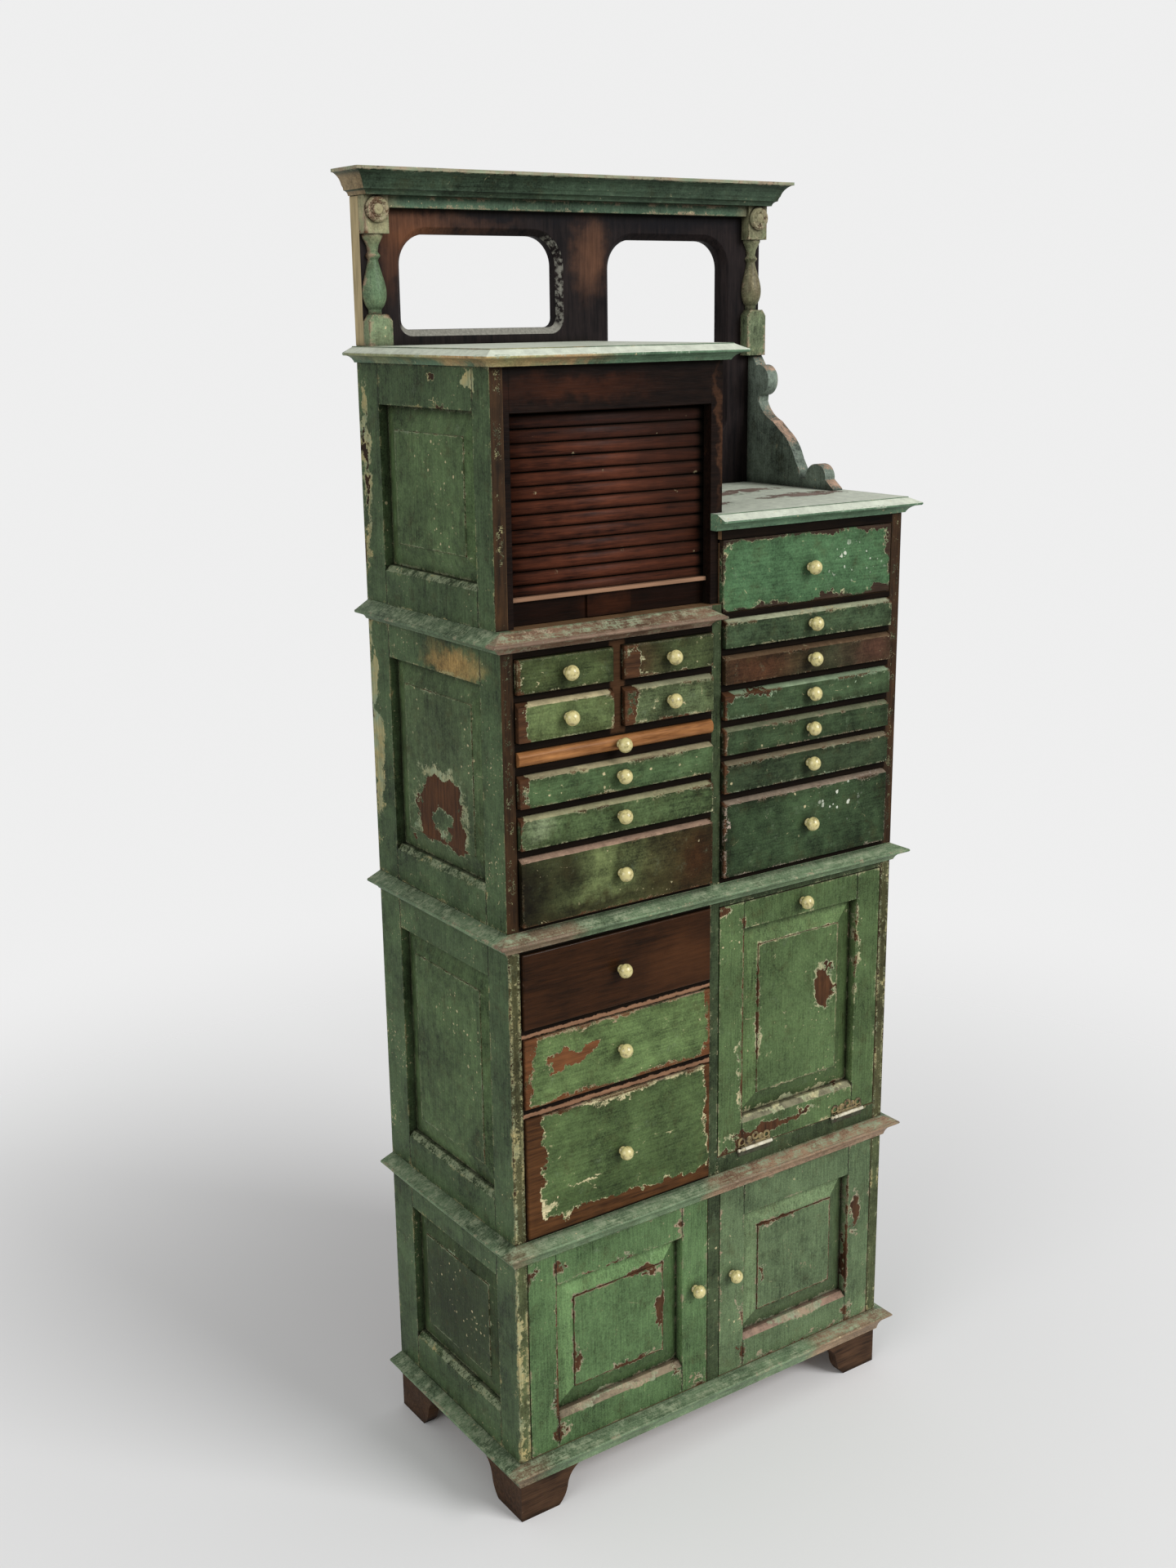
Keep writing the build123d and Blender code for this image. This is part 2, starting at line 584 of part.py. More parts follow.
def pivot(x, z, radius, down):
    """A round pivot that stands up from z, or hangs down from it."""
    align = (Align.CENTER, Align.CENTER, Align.MAX if down else Align.MIN)
    return Pos(x, Y_FRONT + PIVOT_INSET, z) * Cylinder(radius, PIVOT_LENGTH, align=align)


def pivoted_door(x0, x1, x_pivot):
    """A door of the bottom tier with its pivot holes, and the two pivots it turns on."""
    z0, z1 = Z_TIER_1 + DOOR_GAP, Z_WAIST_1 - DOOR_GAP
    solids = door(x0, x1, z0, z1, (DOOR_BOTTOM_RAIL, DOOR_TOP_RAIL), DOOR_STILE, DOOR_SILL)
    holes = [
        pivot(x_pivot, Z_TIER_1 + GROOVE_FIT, PIVOT_R + PIVOT_FIT, False),
        pivot(x_pivot, Z_WAIST_1 - GROOVE_FIT, PIVOT_R + PIVOT_FIT, True),
    ]
    hung = 0 if abs(x_pivot - x0) < abs(x_pivot - x1) else 1
    solids[hung] = solids[hung] - holes[0] - holes[1]
    pins = [pivot(x_pivot, Z_TIER_1, PIVOT_R, False), pivot(x_pivot, Z_WAIST_1, PIVOT_R, True)]
    return solids, pins


def hinge(x):
    """One surface hinge: its fixed leaf with the pin, and its lobed leaf with the long knuckle."""
    x0, x1 = x - HINGE_W / 2, x + HINGE_W / 2
    x_split = x0 + HINGE_KNUCKLE
    face = Plane(origin=(x, Y_FRONT, Z_HINGE), x_dir=(1, 0, 0), z_dir=(0, -1, 0))
    clear = HINGE_R + FALL_GAP / 2
    barrel = Pos(x0, Y_HINGE, Z_HINGE) * Rot(0, 90, 0)
    low = (Align.CENTER, Align.CENTER, Align.MIN)

    foot = Pos(0, -clear - HINGE_FOOT_H / 2) * Rectangle(HINGE_W, HINGE_FOOT_H)
    arm = Rectangle(HINGE_KNUCKLE, clear + 2 * HINGE_ROOT)
    arm = Pos((HINGE_KNUCKLE - HINGE_W) / 2, -clear / 2 - HINGE_ROOT) * arm
    fixed = extrude(face * (foot + arm), HINGE_LEAF_T)
    fixed += barrel * Cylinder(HINGE_R, HINGE_KNUCKLE, align=low)
    fixed += barrel * Cylinder(HINGE_PIN_R, HINGE_W - 2 * HINGE_STRIP_INSET, align=low)

    lobes = Pos(0, clear + HINGE_LOBE_RISE) * Circle(HINGE_LOBE_R)
    for offset in (-HINGE_SIDE_LOBE_SPREAD, HINGE_SIDE_LOBE_SPREAD):
        lobes += Pos(offset, clear + HINGE_SIDE_LOBE_RISE) * Circle(HINGE_SIDE_LOBE_R)
    strip = Rectangle(HINGE_W - 2 * HINGE_STRIP_INSET, HINGE_STRIP_H)
    lobes += Pos(0, clear + HINGE_STRIP_H / 2) * strip
    reach = HINGE_W - HINGE_KNUCKLE - KNUCKLE_GAP
    root = Rectangle(reach, clear + 2 * HINGE_ROOT)
    lobes += Pos((HINGE_W - reach) / 2, clear / 2 + HINGE_ROOT) * root
    leaf = extrude(face * lobes, HINGE_LEAF_T)
    knuckle = Pos(x_split + KNUCKLE_GAP, Y_HINGE, Z_HINGE) * Rot(0, 90, 0)
    leaf += knuckle * Cylinder(HINGE_R, reach, align=low)
    bore = Pos(x_split, Y_HINGE, Z_HINGE) * Rot(0, 90, 0)
    leaf -= bore * Cylinder(HINGE_PIN_R + HINGE_FIT, reach, align=low)
    return fixed, leaf


# ---------------------------------------------------------------- tambour case
def groove():
    """The solid that a routed groove removes from a left cheek: up, round the bend and back."""
    y_bend = Y_GROOVE + GROOVE_BEND
    z_run = Z_TOP - GROOVE_ROOF - GROOVE_W / 2
    z_bend = z_run - GROOVE_BEND
    half = GROOVE_W / 2
    leg = block(0, GROOVE_DEPTH, Y_GROOVE - half, Y_GROOVE + half, Z_CASE, z_bend)
    run = block(0, GROOVE_DEPTH, y_bend, Y_INNER - GROOVE_END, z_run - half, z_run + half)
    centre = Plane(origin=(0, y_bend, z_bend), x_dir=(0, 1, 0), z_dir=(1, 0, 0))
    ring = Circle(GROOVE_BEND + half) - Circle(GROOVE_BEND - half)
    bend = extrude(centre * ring, GROOVE_DEPTH)
    quarter = block(0, GROOVE_DEPTH, y_bend - 2 * GROOVE_BEND, y_bend, z_bend, Z_TOP)
    return leg + run + (bend & quarter)


def tambour_case():
    """The grooved left cheek, the right side in two widths and the top rail."""
    cut = groove()
    cheek = block(X_LEFT_BAY, X_CASE_OPENING, Y_CASE, Y_INNER, Z_CASE, Z_TOP)
    upper = block(X_CASE_WALL, X_CASE_RIGHT, Y_CASE, Y_INNER, Z_WORKTOP_SURFACE, Z_TOP)
    lower = block(X_CASE_WALL, X_RIGHT_BAY, Y_CASE, Y_INNER, Z_CASE, Z_WORKTOP_SURFACE)
    rail = block(X_CASE_OPENING, X_CASE_WALL, Y_CASE, Y_CASE + CASE_FRAME_T, Z_CASE_OPENING, Z_TOP)
    left_cut = Pos(X_CASE_OPENING - GROOVE_DEPTH, 0, 0) * cut
    right_cut = Pos(X_CASE_WALL, 0, 0) * cut
    return [cheek - left_cut, upper - right_cut, lower - right_cut, rail]


def tambour_slats():
    """The curtain: slats on a canvas back."""
    x0 = X_CASE_OPENING - GROOVE_DEPTH + GROOVE_FIT
    x1 = X_CASE_WALL + GROOVE_DEPTH - GROOVE_FIT
    height = SLAT_PITCH - SLAT_GAP
    y0, y1 = Y_SLATS, Y_SLATS + SLAT_T - CANVAS_T
    side = [
        (y1, 0),
        (y1, height),
        (y0 + SLAT_CHAMFER, height),
        (y0, height - SLAT_CHAMFER),
        (y0, SLAT_CHAMFER),
        (y0 + SLAT_CHAMFER, 0),
        (y1, 0),
    ]
    plane = Plane(origin=(x0, 0, 0), x_dir=(0, 1, 0), z_dir=(1, 0, 0))
    slat = extrude(plane * outline(side), x1 - x0)
    slats = [Pos(0, 0, Z_CURTAIN + SLAT_GAP + n * SLAT_PITCH) * slat for n in range(SLAT_COUNT)]
    canvas = block(x0, x1, y1, y1 + CANVAS_T, Z_CURTAIN + SLAT_GAP, Z_CURTAIN + SLAT_COUNT * SLAT_PITCH)
    return [*slats, canvas]


def tambour_lift_rail():
    """The bottom rail of the curtain with its finger lip and lock block."""
    x0 = X_CASE_OPENING - GROOVE_DEPTH + GROOVE_FIT
    x1 = X_CASE_WALL + GROOVE_DEPTH - GROOVE_FIT
    z_lip = Z_CASE + LIFT_RAIL_H
    lip = (X_CASE_OPENING + LIP_GAP, X_CASE_WALL - LIP_GAP)
    lock = X_CASE_OPENING + LOCK_BLOCK_LEFT
    z_lock = Z_CASE + LOCK_BLOCK_RAISE
    return [
        block(x0, x1, Y_SLATS, Y_SLATS + SLAT_T, Z_CASE + GROOVE_FIT, Z_CURTAIN),
        block(*lip, Y_SLATS - LIP_REACH, Y_SLATS, z_lip, z_lip + LIP_H),
        block(lock, lock + LOCK_BLOCK_W, Y_SLATS - LOCK_BLOCK_T, Y_SLATS, z_lock, z_lip),
    ]


# ---------------------------------------------------------------- gallery
def mirror_hole(x0, x1, z0, z1):
    """A mirror opening with large upper corners and small lower ones."""
    width, height = x1 - x0, z1 - z0
    sketch = Rectangle(width, height)
    corners = sketch.vertices().sort_by(Axis.Y)
    sketch = fillet(corners[2:], MIRROR_TOP_R)
    sketch = fillet(sketch.vertices().group_by(Axis.Y)[0], MIRROR_BOTTOM_R)
    centre = ((x0 + x1) / 2, Y_GALLERY, (z0 + z1) / 2)
    face = Plane(origin=centre, x_dir=(1, 0, 0), z_dir=(0, -1, 0)) * sketch
    return extrude(face, -GALLERY_T)


def gallery_board():
    """The dark back board with its two mirror openings, notched round the top board's end."""
    x_notch = X_CASE_RIGHT + NOSE_REACH + FRONT_GAP / 4
    outside = [
        (X_LEFT, Z_TOP_SURFACE),
        (x_notch, Z_TOP_SURFACE),
        (x_notch, Z_TOP),
        (X_CASE_RIGHT, Z_TOP),
        (X_CASE_RIGHT, Z_WORKTOP_SURFACE),
        (X_RIGHT, Z_WORKTOP_SURFACE),
        (X_RIGHT, Z_CROWN),
        (X_LEFT, Z_CROWN),
        (X_LEFT, Z_TOP_SURFACE),
    ]
    plane = Plane(origin=(0, Y_GALLERY, 0), x_dir=(1, 0, 0), z_dir=(0, -1, 0))
    board = extrude(plane * outline(outside), -GALLERY_T)
    half = MIRROR_MIDDLE_STILE / 2
    left = (X_LEFT + MIRROR_LEFT_STILE, X_CASE_RIGHT - half)
    right = (X_CASE_RIGHT + half, X_RIGHT - MIRROR_RIGHT_STILE)
    board -= mirror_hole(*left, Z_TOP_SURFACE + LEFT_MIRROR_RISE, Z_FRIEZE - LEFT_MIRROR_DROP)
    board -= mirror_hole(*right, Z_WORKTOP_SURFACE + RIGHT_MIRROR_RISE, Z_FRIEZE - RIGHT_MIRROR_DROP)
    front = board.faces().filter_by(Axis.Y).sort_by(Axis.Y)[0]
    rims = [edge for wire in front.inner_wires() for edge in wire.edges()]
    return chamfer(rims, MIRROR_RIM)


def pilaster(x0, x1, foot_bottom):
    """A split baluster between two blocks, with a rosette on the upper one."""
    x = (x0 + x1) / 2
    y0 = Y_GALLERY - PILASTER_T
    z_block = Z_CROWN - ROSETTE_BLOCK_H
    foot = block(x0, x1, y0, Y_GALLERY, foot_bottom, Z_PILASTER_FOOT)
    foot = chamfer(foot.edges().filter_by(Axis.Y).group_by(Axis.Z)[-1], *PILASTER_FOOT_CHAMFER)
    rise = z_block - Z_PILASTER_FOOT
    vase = [(PILASTER_W * 0.27, 0), (PILASTER_W * 0.27, rise * 0.06), (PILASTER_W * 0.36, rise * 0.1)]
    neck = [
        (PILASTER_W * 0.21, rise * 0.68),
        (PILASTER_W * 0.31, rise * 0.73),
        (PILASTER_W * 0.21, rise * 0.78),
        (PILASTER_W * 0.25, rise * 0.86),
        (PILASTER_W * 0.42, rise * 0.97),
        (PILASTER_W * 0.42, rise),
        (0, rise),
        (0, 0),
    ]
    belly = Spline(vase[-1], (PILASTER_W * 0.48, rise * 0.3), (PILASTER_W * 0.33, rise * 0.52), neck[0])
    face = outline([*neck, *vase], belly)
    turned = Pos(x, Y_GALLERY, Z_PILASTER_FOOT) * revolve(Plane.XZ * face, Axis.Z)
    half = turned & block(x0, x1, y0, Y_GALLERY, Z_PILASTER_FOOT, z_block)
    cap = block(x0, x1, y0, Y_GALLERY, z_block, Z_CROWN)
    return [foot, half, cap, rosette(x, y0)]


def rosette(x, y):
    """A turned rosette on a block's face."""
    rings = [
        (0, 0),
        (ROSETTE_R, 0),
        (ROSETTE_R, ROSETTE_T * 0.5),
        (ROSETTE_R * 0.86, ROSETTE_T * 0.85),
        (ROSETTE_R * 0.5, ROSETTE_T * 0.6),
        (ROSETTE_R * 0.36, ROSETTE_T * 0.9),
        (0, ROSETTE_T),
        (0, 0),
    ]
    centre = Pos(x, y, Z_CROWN - PILASTER_W / 2)
    return centre * Rot(90, 0, 0) * revolve(Plane.XZ * outline(rings), Axis.Z)


def side_bracket():
    """The scrolled bracket from the gallery down to the worktop."""
    across, up = BRACKET_D / 100, BRACKET_H / 100

    def at(share_out, share_up):
        """A point at hundredths of the bracket's depth and height."""
        return (across * share_out, up * share_up)

    tip, neck, chest, hip, knee = at(10.2, 92.3), at(14, 69), at(30.6, 49.2), at(39.8, 42), at(56.5, 21.5)
    ankle, heel, ball, toe = at(61.8, 13.3), at(62.1, 6.6), at(69.4, 7.2), at(91.4, 7.7)
    lobe_end, end = at(13.4, 64.1), at(100, 1.1)
    edges = [
        Line((0, 0), (0, BRACKET_H)),
        Line((0, BRACKET_H), at(4.6, 100)),
        Line(at(4.6, 100), tip),
        ThreePointArc(tip, at(24.5, 81.2), neck),
        Line(neck, lobe_end),
        Spline(lobe_end, at(19.4, 55.8), chest),
        Line(chest, hip),
        ThreePointArc(hip, at(48.9, 34.3), knee),
        Line(knee, ankle),
        Line(ankle, heel),
        Line(heel, ball),
        ThreePointArc(ball, at(74.2, 17.1), at(82.8, 18.8)),
        ThreePointArc(at(82.8, 18.8), at(89.8, 14.4), toe),
        Line(toe, end),
        Line(end, (BRACKET_D, 0)),
        Line((BRACKET_D, 0), (0, 0)),
    ]
    corner = (X_RIGHT - BRACKET_T, Y_GALLERY, Z_WORKTOP_SURFACE)
    plane = Plane(origin=corner, x_dir=(0, -1, 0), z_dir=(-1, 0, 0))
    return extrude(plane * make_face(edges), -BRACKET_T)


# ---------------------------------------------------------------- build
def main():
    """Builds and writes every node."""
    os.makedirs("parts", exist_ok=True)

    frames, panels = side_frames()
    export("bracket_feet", *bracket_feet())
    export("moulded_boards", *moulded_boards())
    export("worktops", *worktops())
    export("side_frames", *frames)
    export("side_panels", *panels)
    export("partitions", *partitions())
    export("back_boards", *back_boards())

    runners = []
    left, right = (X_LEFT_BAY, X_PARTITION), (X_RIGHT_BAY, X_RIGHT_WALL)
    fill_column(LEFT_UPPER, *left, Z_TIER_3, Z_WAIST_3, LEFT_UPPER_TOP_RAIL, runners)
    fill_column(RIGHT_UPPER, *right, Z_TIER_3, Z_WORKTOP, RIGHT_UPPER_TOP_RAIL, runners)
    fill_column(LEFT_MIDDLE, *left, Z_TIER_2, Z_WAIST_2, LEFT_MIDDLE_TOP_RAIL, runners)
    export("drawer_runners", *runners)

    x_left = (X_LEFT_BAY + DOOR_GAP, X_PARTITION - DOOR_GAP)
    x_right = (X_POST_RIGHT + DOOR_GAP, X_RIGHT_WALL - DOOR_GAP)
    left, left_pins = pivoted_door(*x_left, x_left[0] + PIVOT_INSET)
    right, right_pins = pivoted_door(*x_right, x_right[1] - PIVOT_INSET)
    export("left_door", *left)
    export("right_door", *right)
    z_knob = Z_TIER_1 + DOOR_GAP + DOOR_KNOB_RISE
    export("knob_left_door", front_knob(x_left[1] - DOOR_KNOB_INSET, Y_FRONT, z_knob))
    export("knob_right_door", front_knob(x_right[0] + DOOR_KNOB_INSET, Y_FRONT, z_knob))

    x_fall = (X_RIGHT_BAY + FALL_GAP, X_RIGHT_WALL - FALL_GAP)
    z_fall = (Z_TIER_2 + FALL_SILL_H + FALL_GAP, Z_FALL_TOP)
    export("fall_front", *door(*x_fall, *z_fall, (FALL_BOTTOM_RAIL, FALL_TOP_RAIL), FALL_STILE, DOOR_SILL))
    export("knob_fall_front", front_knob(sum(x_fall) / 2, Y_FRONT, Z_FALL_TOP - FALL_KNOB_DROP))
    hinges = [hinge(x_fall[0] + HINGE_INSETS[0]), hinge(x_fall[1] - HINGE_INSETS[1])]
    export("hinge_fixed_parts", *[fixed for fixed, _ in hinges], *left_pins, *right_pins)
    export("fall_hinge_leaves", *[leaf for _, leaf in hinges])

    export("tambour_case", *tambour_case())
    export("tambour_slats", *tambour_slats())
    export("tambour_lift_rail", *tambour_lift_rail())

    export("gallery_board", gallery_board())
    x_left_pilaster = (X_LEFT, X_LEFT + PILASTER_W)
    x_right_pilaster = (X_RIGHT - PILASTER_W, X_RIGHT)
    x0, x1 = x_left_pilaster[1], x_right_pilaster[0]
    frieze = block(x0, x1, Y_GALLERY - FRIEZE_T, Y_GALLERY, Z_FRIEZE, Z_CROWN)
    left_pilaster = pilaster(*x_left_pilaster, Z_TOP_SURFACE)
    right_pilaster = pilaster(*x_right_pilaster, Z_BRACKET_TOP)
    export("pilasters", *left_pilaster, *right_pilaster, frieze)
    export("side_bracket", side_bracket())
    y_crown = Y_GALLERY - PILASTER_T - ROSETTE_T
    crown = moulded_board(X_LEFT, X_RIGHT, y_crown, Z_CROWN, CROWN_H, crown_outline())
    export("cornice", crown)


main()
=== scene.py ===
import json
import math

import bmesh
import bpy
from mathutils import Matrix, Vector


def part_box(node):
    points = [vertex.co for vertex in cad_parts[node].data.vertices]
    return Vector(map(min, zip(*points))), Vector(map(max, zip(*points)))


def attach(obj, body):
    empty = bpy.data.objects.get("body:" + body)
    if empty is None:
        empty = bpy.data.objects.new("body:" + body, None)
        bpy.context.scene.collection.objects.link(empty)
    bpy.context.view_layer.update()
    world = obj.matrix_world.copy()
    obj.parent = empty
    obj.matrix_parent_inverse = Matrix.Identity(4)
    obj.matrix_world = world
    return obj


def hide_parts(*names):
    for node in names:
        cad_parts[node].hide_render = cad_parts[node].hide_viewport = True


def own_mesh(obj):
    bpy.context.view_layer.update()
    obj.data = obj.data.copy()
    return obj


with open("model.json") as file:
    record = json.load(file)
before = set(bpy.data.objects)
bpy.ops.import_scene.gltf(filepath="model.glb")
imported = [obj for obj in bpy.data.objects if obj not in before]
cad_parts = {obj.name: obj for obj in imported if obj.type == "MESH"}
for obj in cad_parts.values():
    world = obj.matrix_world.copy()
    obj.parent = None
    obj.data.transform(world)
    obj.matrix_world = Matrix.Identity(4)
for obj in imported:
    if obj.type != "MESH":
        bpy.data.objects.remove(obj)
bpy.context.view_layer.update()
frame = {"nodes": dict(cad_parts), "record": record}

# A tall painted cabinet. Places are millimetres of the row frame and become metres where a mesh is made.
MM = 0.001
cad = frame["nodes"]

X_LEFT, X_RIGHT = -320.0, 320.0
Y_FRONT, Y_CASE, Y_SLATS, Y_PILASTER = -149.25, -141.25, -126.25, 137.75  # where their fronts lie
BAYS = (-303.0, 303.0)  # the space between the outer sides
FRONT_BACK = Y_FRONT + 8.0  # the back of a drawer's front


def rgb(red, green, blue):
    """An sRGB colour of 0 to 255 as a shader's linear colour."""
    shares = [value / 255 for value in (red, green, blue)]
    return (*[s / 12.92 if s <= 0.04045 else ((s + 0.055) / 1.055) ** 2.4 for s in shares], 1.0)


def scaled(tone, factor):
    """A linear colour made lighter or darker."""
    return (*[value * factor for value in tone[:3]], 1.0)


MINT = rgb(150, 168, 138)
CREAM = rgb(206, 192, 150)
PINK = rgb(176, 146, 124)
DARK_WOOD = rgb(44, 28, 17)
BROWN_WOOD = rgb(104, 68, 42)
RAW_WOOD = rgb(134, 104, 74)
# dark grime for joints, and the colour of painted shade in corners and hollows
DIRT_AND_SHADE = rgb(20, 17, 11)


# ---------------- materials
class Wiring:
    """One material's node tree. Places and sizes in it are millimetres of the row frame at rest."""

    def __init__(self, name):
        self.material = bpy.data.materials.new(name)
        self.material.use_nodes = True
        self.tree = self.material.node_tree
        self.tree.nodes.clear()
        coordinates = self.add("ShaderNodeTexCoord")
        self.place = self.vector("MULTIPLY", coordinates.outputs["Object"], (1000.0, 1000.0, 1000.0))
        self.at = self.split(self.place)
        self.facing = self.split(coordinates.outputs["Normal"])

    def add(self, kind, **settings):
        node = self.tree.nodes.new(kind)
        for key, value in settings.items():
            setattr(node, key, value)
        return node

    def feed(self, socket, value):
        if isinstance(value, bpy.types.NodeSocket):
            self.tree.links.new(value, socket)
        else:
            socket.default_value = value

    def math(self, operation, *values, clamp=False):
        node = self.add("ShaderNodeMath", operation=operation, use_clamp=clamp)
        for socket, value in zip(node.inputs, values):
            self.feed(socket, value)
        return node.outputs[0]

    def times(self, first, *others):
        for other in others:
            first = self.math("MULTIPLY", first, other)
        return first

    def share(self, value, factor, offset):
        """A value times a factor plus an offset, kept between 0 and 1."""
        return self.math("MULTIPLY_ADD", value, factor, offset, clamp=True)

    def plus(self, a, b, clamp=False):
        return self.math("ADD", a, b, clamp=clamp)

    def minus(self, a, b):
        return self.math("SUBTRACT", a, b)

    def vector(self, operation, *values):
        node = self.add("ShaderNodeVectorMath", operation=operation)
        for socket, value in zip(node.inputs, values):
            self.feed(socket, value)
        return node.outputs["Value" if operation == "LENGTH" else "Vector"]

    def split(self, place):
        node = self.add("ShaderNodeSeparateXYZ")
        self.feed(node.inputs[0], place)
        return dict(zip("xyz", node.outputs))

    def step(self, value, low, high):
        """0 at low, 1 at high, smooth between them."""
        node = self.add("ShaderNodeMapRange", interpolation_type="SMOOTHSTEP")
        self.feed(node.inputs["Value"], value)
        node.inputs["From Min"].default_value = low
        node.inputs["From Max"].default_value = high
        return node.outputs["Result"]

    def mix(self, share, a, b, blend="MIX"):
        node = self.add("ShaderNodeMix", data_type="RGBA", blend_type=blend)
        self.feed(node.inputs[0], share)
        self.feed(node.inputs[6], a)
        self.feed(node.inputs[7], b)
        return node.outputs[2]

    def veil(self, below, mask, strength, above, blend="MIX"):
        """A colour laid over another where a mask says."""
        return self.mix(self.times(mask, strength), below, above, blend)

    def largest(self, *values):
        """The largest of several masks."""
        result = values[0]
        for value in values[1:]:
            result = self.math("MAXIMUM", result, value)
        return result

    def total(self, *terms):
        """The sum of (socket, factor) pairs."""
        result = 0.0
        for socket, factor in terms:
            result = self.math("MULTIPLY_ADD", socket, factor, result)
        return result

    def texture(self, kind, vector, **inputs):
        """A texture node that reads a vector as it is."""
        node = self.add(kind)
        for name, value in {"Vector": vector, "Scale": 1.0, **inputs}.items():
            self.feed(node.inputs[name], value)
        return node

    def noise(self, size, detail=4.0, roughness=0.6, stretch=(1, 1, 1), shift=0.0):
        """Noise of about -1 to 1 whose features are size mm across, longer where stretch says."""
        frequency = tuple(1.0 / (size * along) for along in stretch)
        vector = self.vector("MULTIPLY_ADD", self.place, frequency, (shift,) * 3)
        node = self.texture("ShaderNodeTexNoise", vector, Detail=detail, Roughness=roughness)
        return self.math("MULTIPLY_ADD", node.outputs[0], 4.0, -2.0)

    def pushed(self, place, size, reach):
        """A place pushed about by up to reach mm, so that edges drawn with it are ragged."""
        vector = self.vector("MULTIPLY", self.place, (1.0 / size,) * 3)
        node = self.texture("ShaderNodeTexNoise", vector, Detail=4.0, Roughness=0.6)
        push = self.vector("MULTIPLY_ADD", node.outputs["Color"], (4.0 * reach,) * 3, (-2.0 * reach,) * 3)
        return self.vector("ADD", place, push)

    def make_ragged(self):
        """Sets the places that marks are drawn with: near and line for lines, ragged and patch for patches."""
        self.near = self.pushed(self.place, 9.0, 1.8)
        self.ragged = self.pushed(self.pushed(self.near, 13.0, 4.5), 42.0, 13.0)
        self.line, self.patch = self.split(self.near), self.split(self.ragged)

    def spot(self, mark, soft=0.6):
        """1 in an ellipsoid (x, y, z, rx, ry, rz) and 0 outside it, with a soft edge."""
        offset = self.vector("SUBTRACT", self.ragged, mark[:3])
        distance = self.vector("LENGTH", self.vector("MULTIPLY", offset, tuple(1.0 / r for r in mark[3:6])))
        return self.step(distance, 1.0 + soft, 1.0 - soft)

    def where(self, mark):
        """The mask of a tint's mark: an ellipsoid, or a function of the wiring."""
        return mark(self) if callable(mark) else self.spot(mark, 0.9)

    def marks(self, found):
        """The total of several marks: (x, y, z, rx, ry, rz, amount), or a function of the wiring."""
        return self.total(*[(m(self), 1.0) if callable(m) else (self.spot(m), m[6]) for m in found])

    def between(self, value, low, high, soft=0.5):
        """1 between two planes."""
        above = self.step(value, low - soft, low + soft)
        return self.times(above, self.step(value, high + soft, high - soft))

    def edges(self, reach):
        """1 at an outside edge, fading inwards over reach mm."""
        node = self.add("ShaderNodeAmbientOcclusion", samples=4, inside=True, only_local=True)
        self.feed(node.inputs["Distance"], reach * MM)
        return self.share(node.outputs["AO"], -2.4, 2.3)

    def crevice_shade(self, reach):
        """The mask of painted shade: 1 deep in a corner, fading outwards over reach mm."""
        node = self.add("ShaderNodeAmbientOcclusion", samples=4)
        self.feed(node.inputs["Distance"], reach * MM)
        return self.share(node.outputs["AO"], -1.5, 1.42)

    def specks(self, cell, size, shift):
        """Small scattered dots, up to size mm across."""
        vector = self.vector("MULTIPLY_ADD", self.near, (1.0 / cell,) * 3, (shift,) * 3)
        node = self.texture("ShaderNodeTexVoronoi", vector)
        bright = self.split(node.outputs["Color"])["x"]
        limit = self.math("MULTIPLY_ADD", self.math("POWER", bright, 4.0), size / cell, -0.01)
        return self.step(self.minus(limit, node.outputs["Distance"]), 0.0, 0.012)

    def finish(self, base, roughness, height, **sockets):
        """Puts a Principled shader on the tree: height is in mm."""
        shader = self.add("ShaderNodeBsdfPrincipled")
        self.feed(shader.inputs["Base Color"], base)
        self.feed(shader.inputs["Roughness"], roughness)
        relief = self.add("ShaderNodeBump")
        relief.inputs["Distance"].default_value = MM
        self.feed(relief.inputs["Height"], height)
        self.feed(shader.inputs["Normal"], relief.outputs["Normal"])
        for name, value in sockets.items():
            shader.inputs[name.replace("_", " ")].default_value = value
        self.feed(self.add("ShaderNodeOutputMaterial").inputs["Surface"], shader.outputs["BSDF"])
        return self.material


GRAIN = {"x": (16, 1, 1), "y": (1, 16, 1), "z": (1, 1, 16)}


def wood_tone(w, dark, light, along, shift=0.0):
    """The colour of old wood with its grain along an axis, and the grain's height."""
    figure = w.noise(5.0, 5.0, 0.62, GRAIN[along], shift)
    pores = w.noise(1.1, 2.0, 0.5, GRAIN[along], shift + 3.0)
    cloud = w.noise(46.0, 3.0, 0.5, shift=shift + 7.0)
    share = w.plus(w.total((figure, 0.38), (pores, 0.18), (cloud, 0.24)), 0.42, clamp=True)
    return w.mix(share, dark, light), w.total((figure, 0.05), (pores, 0.05))


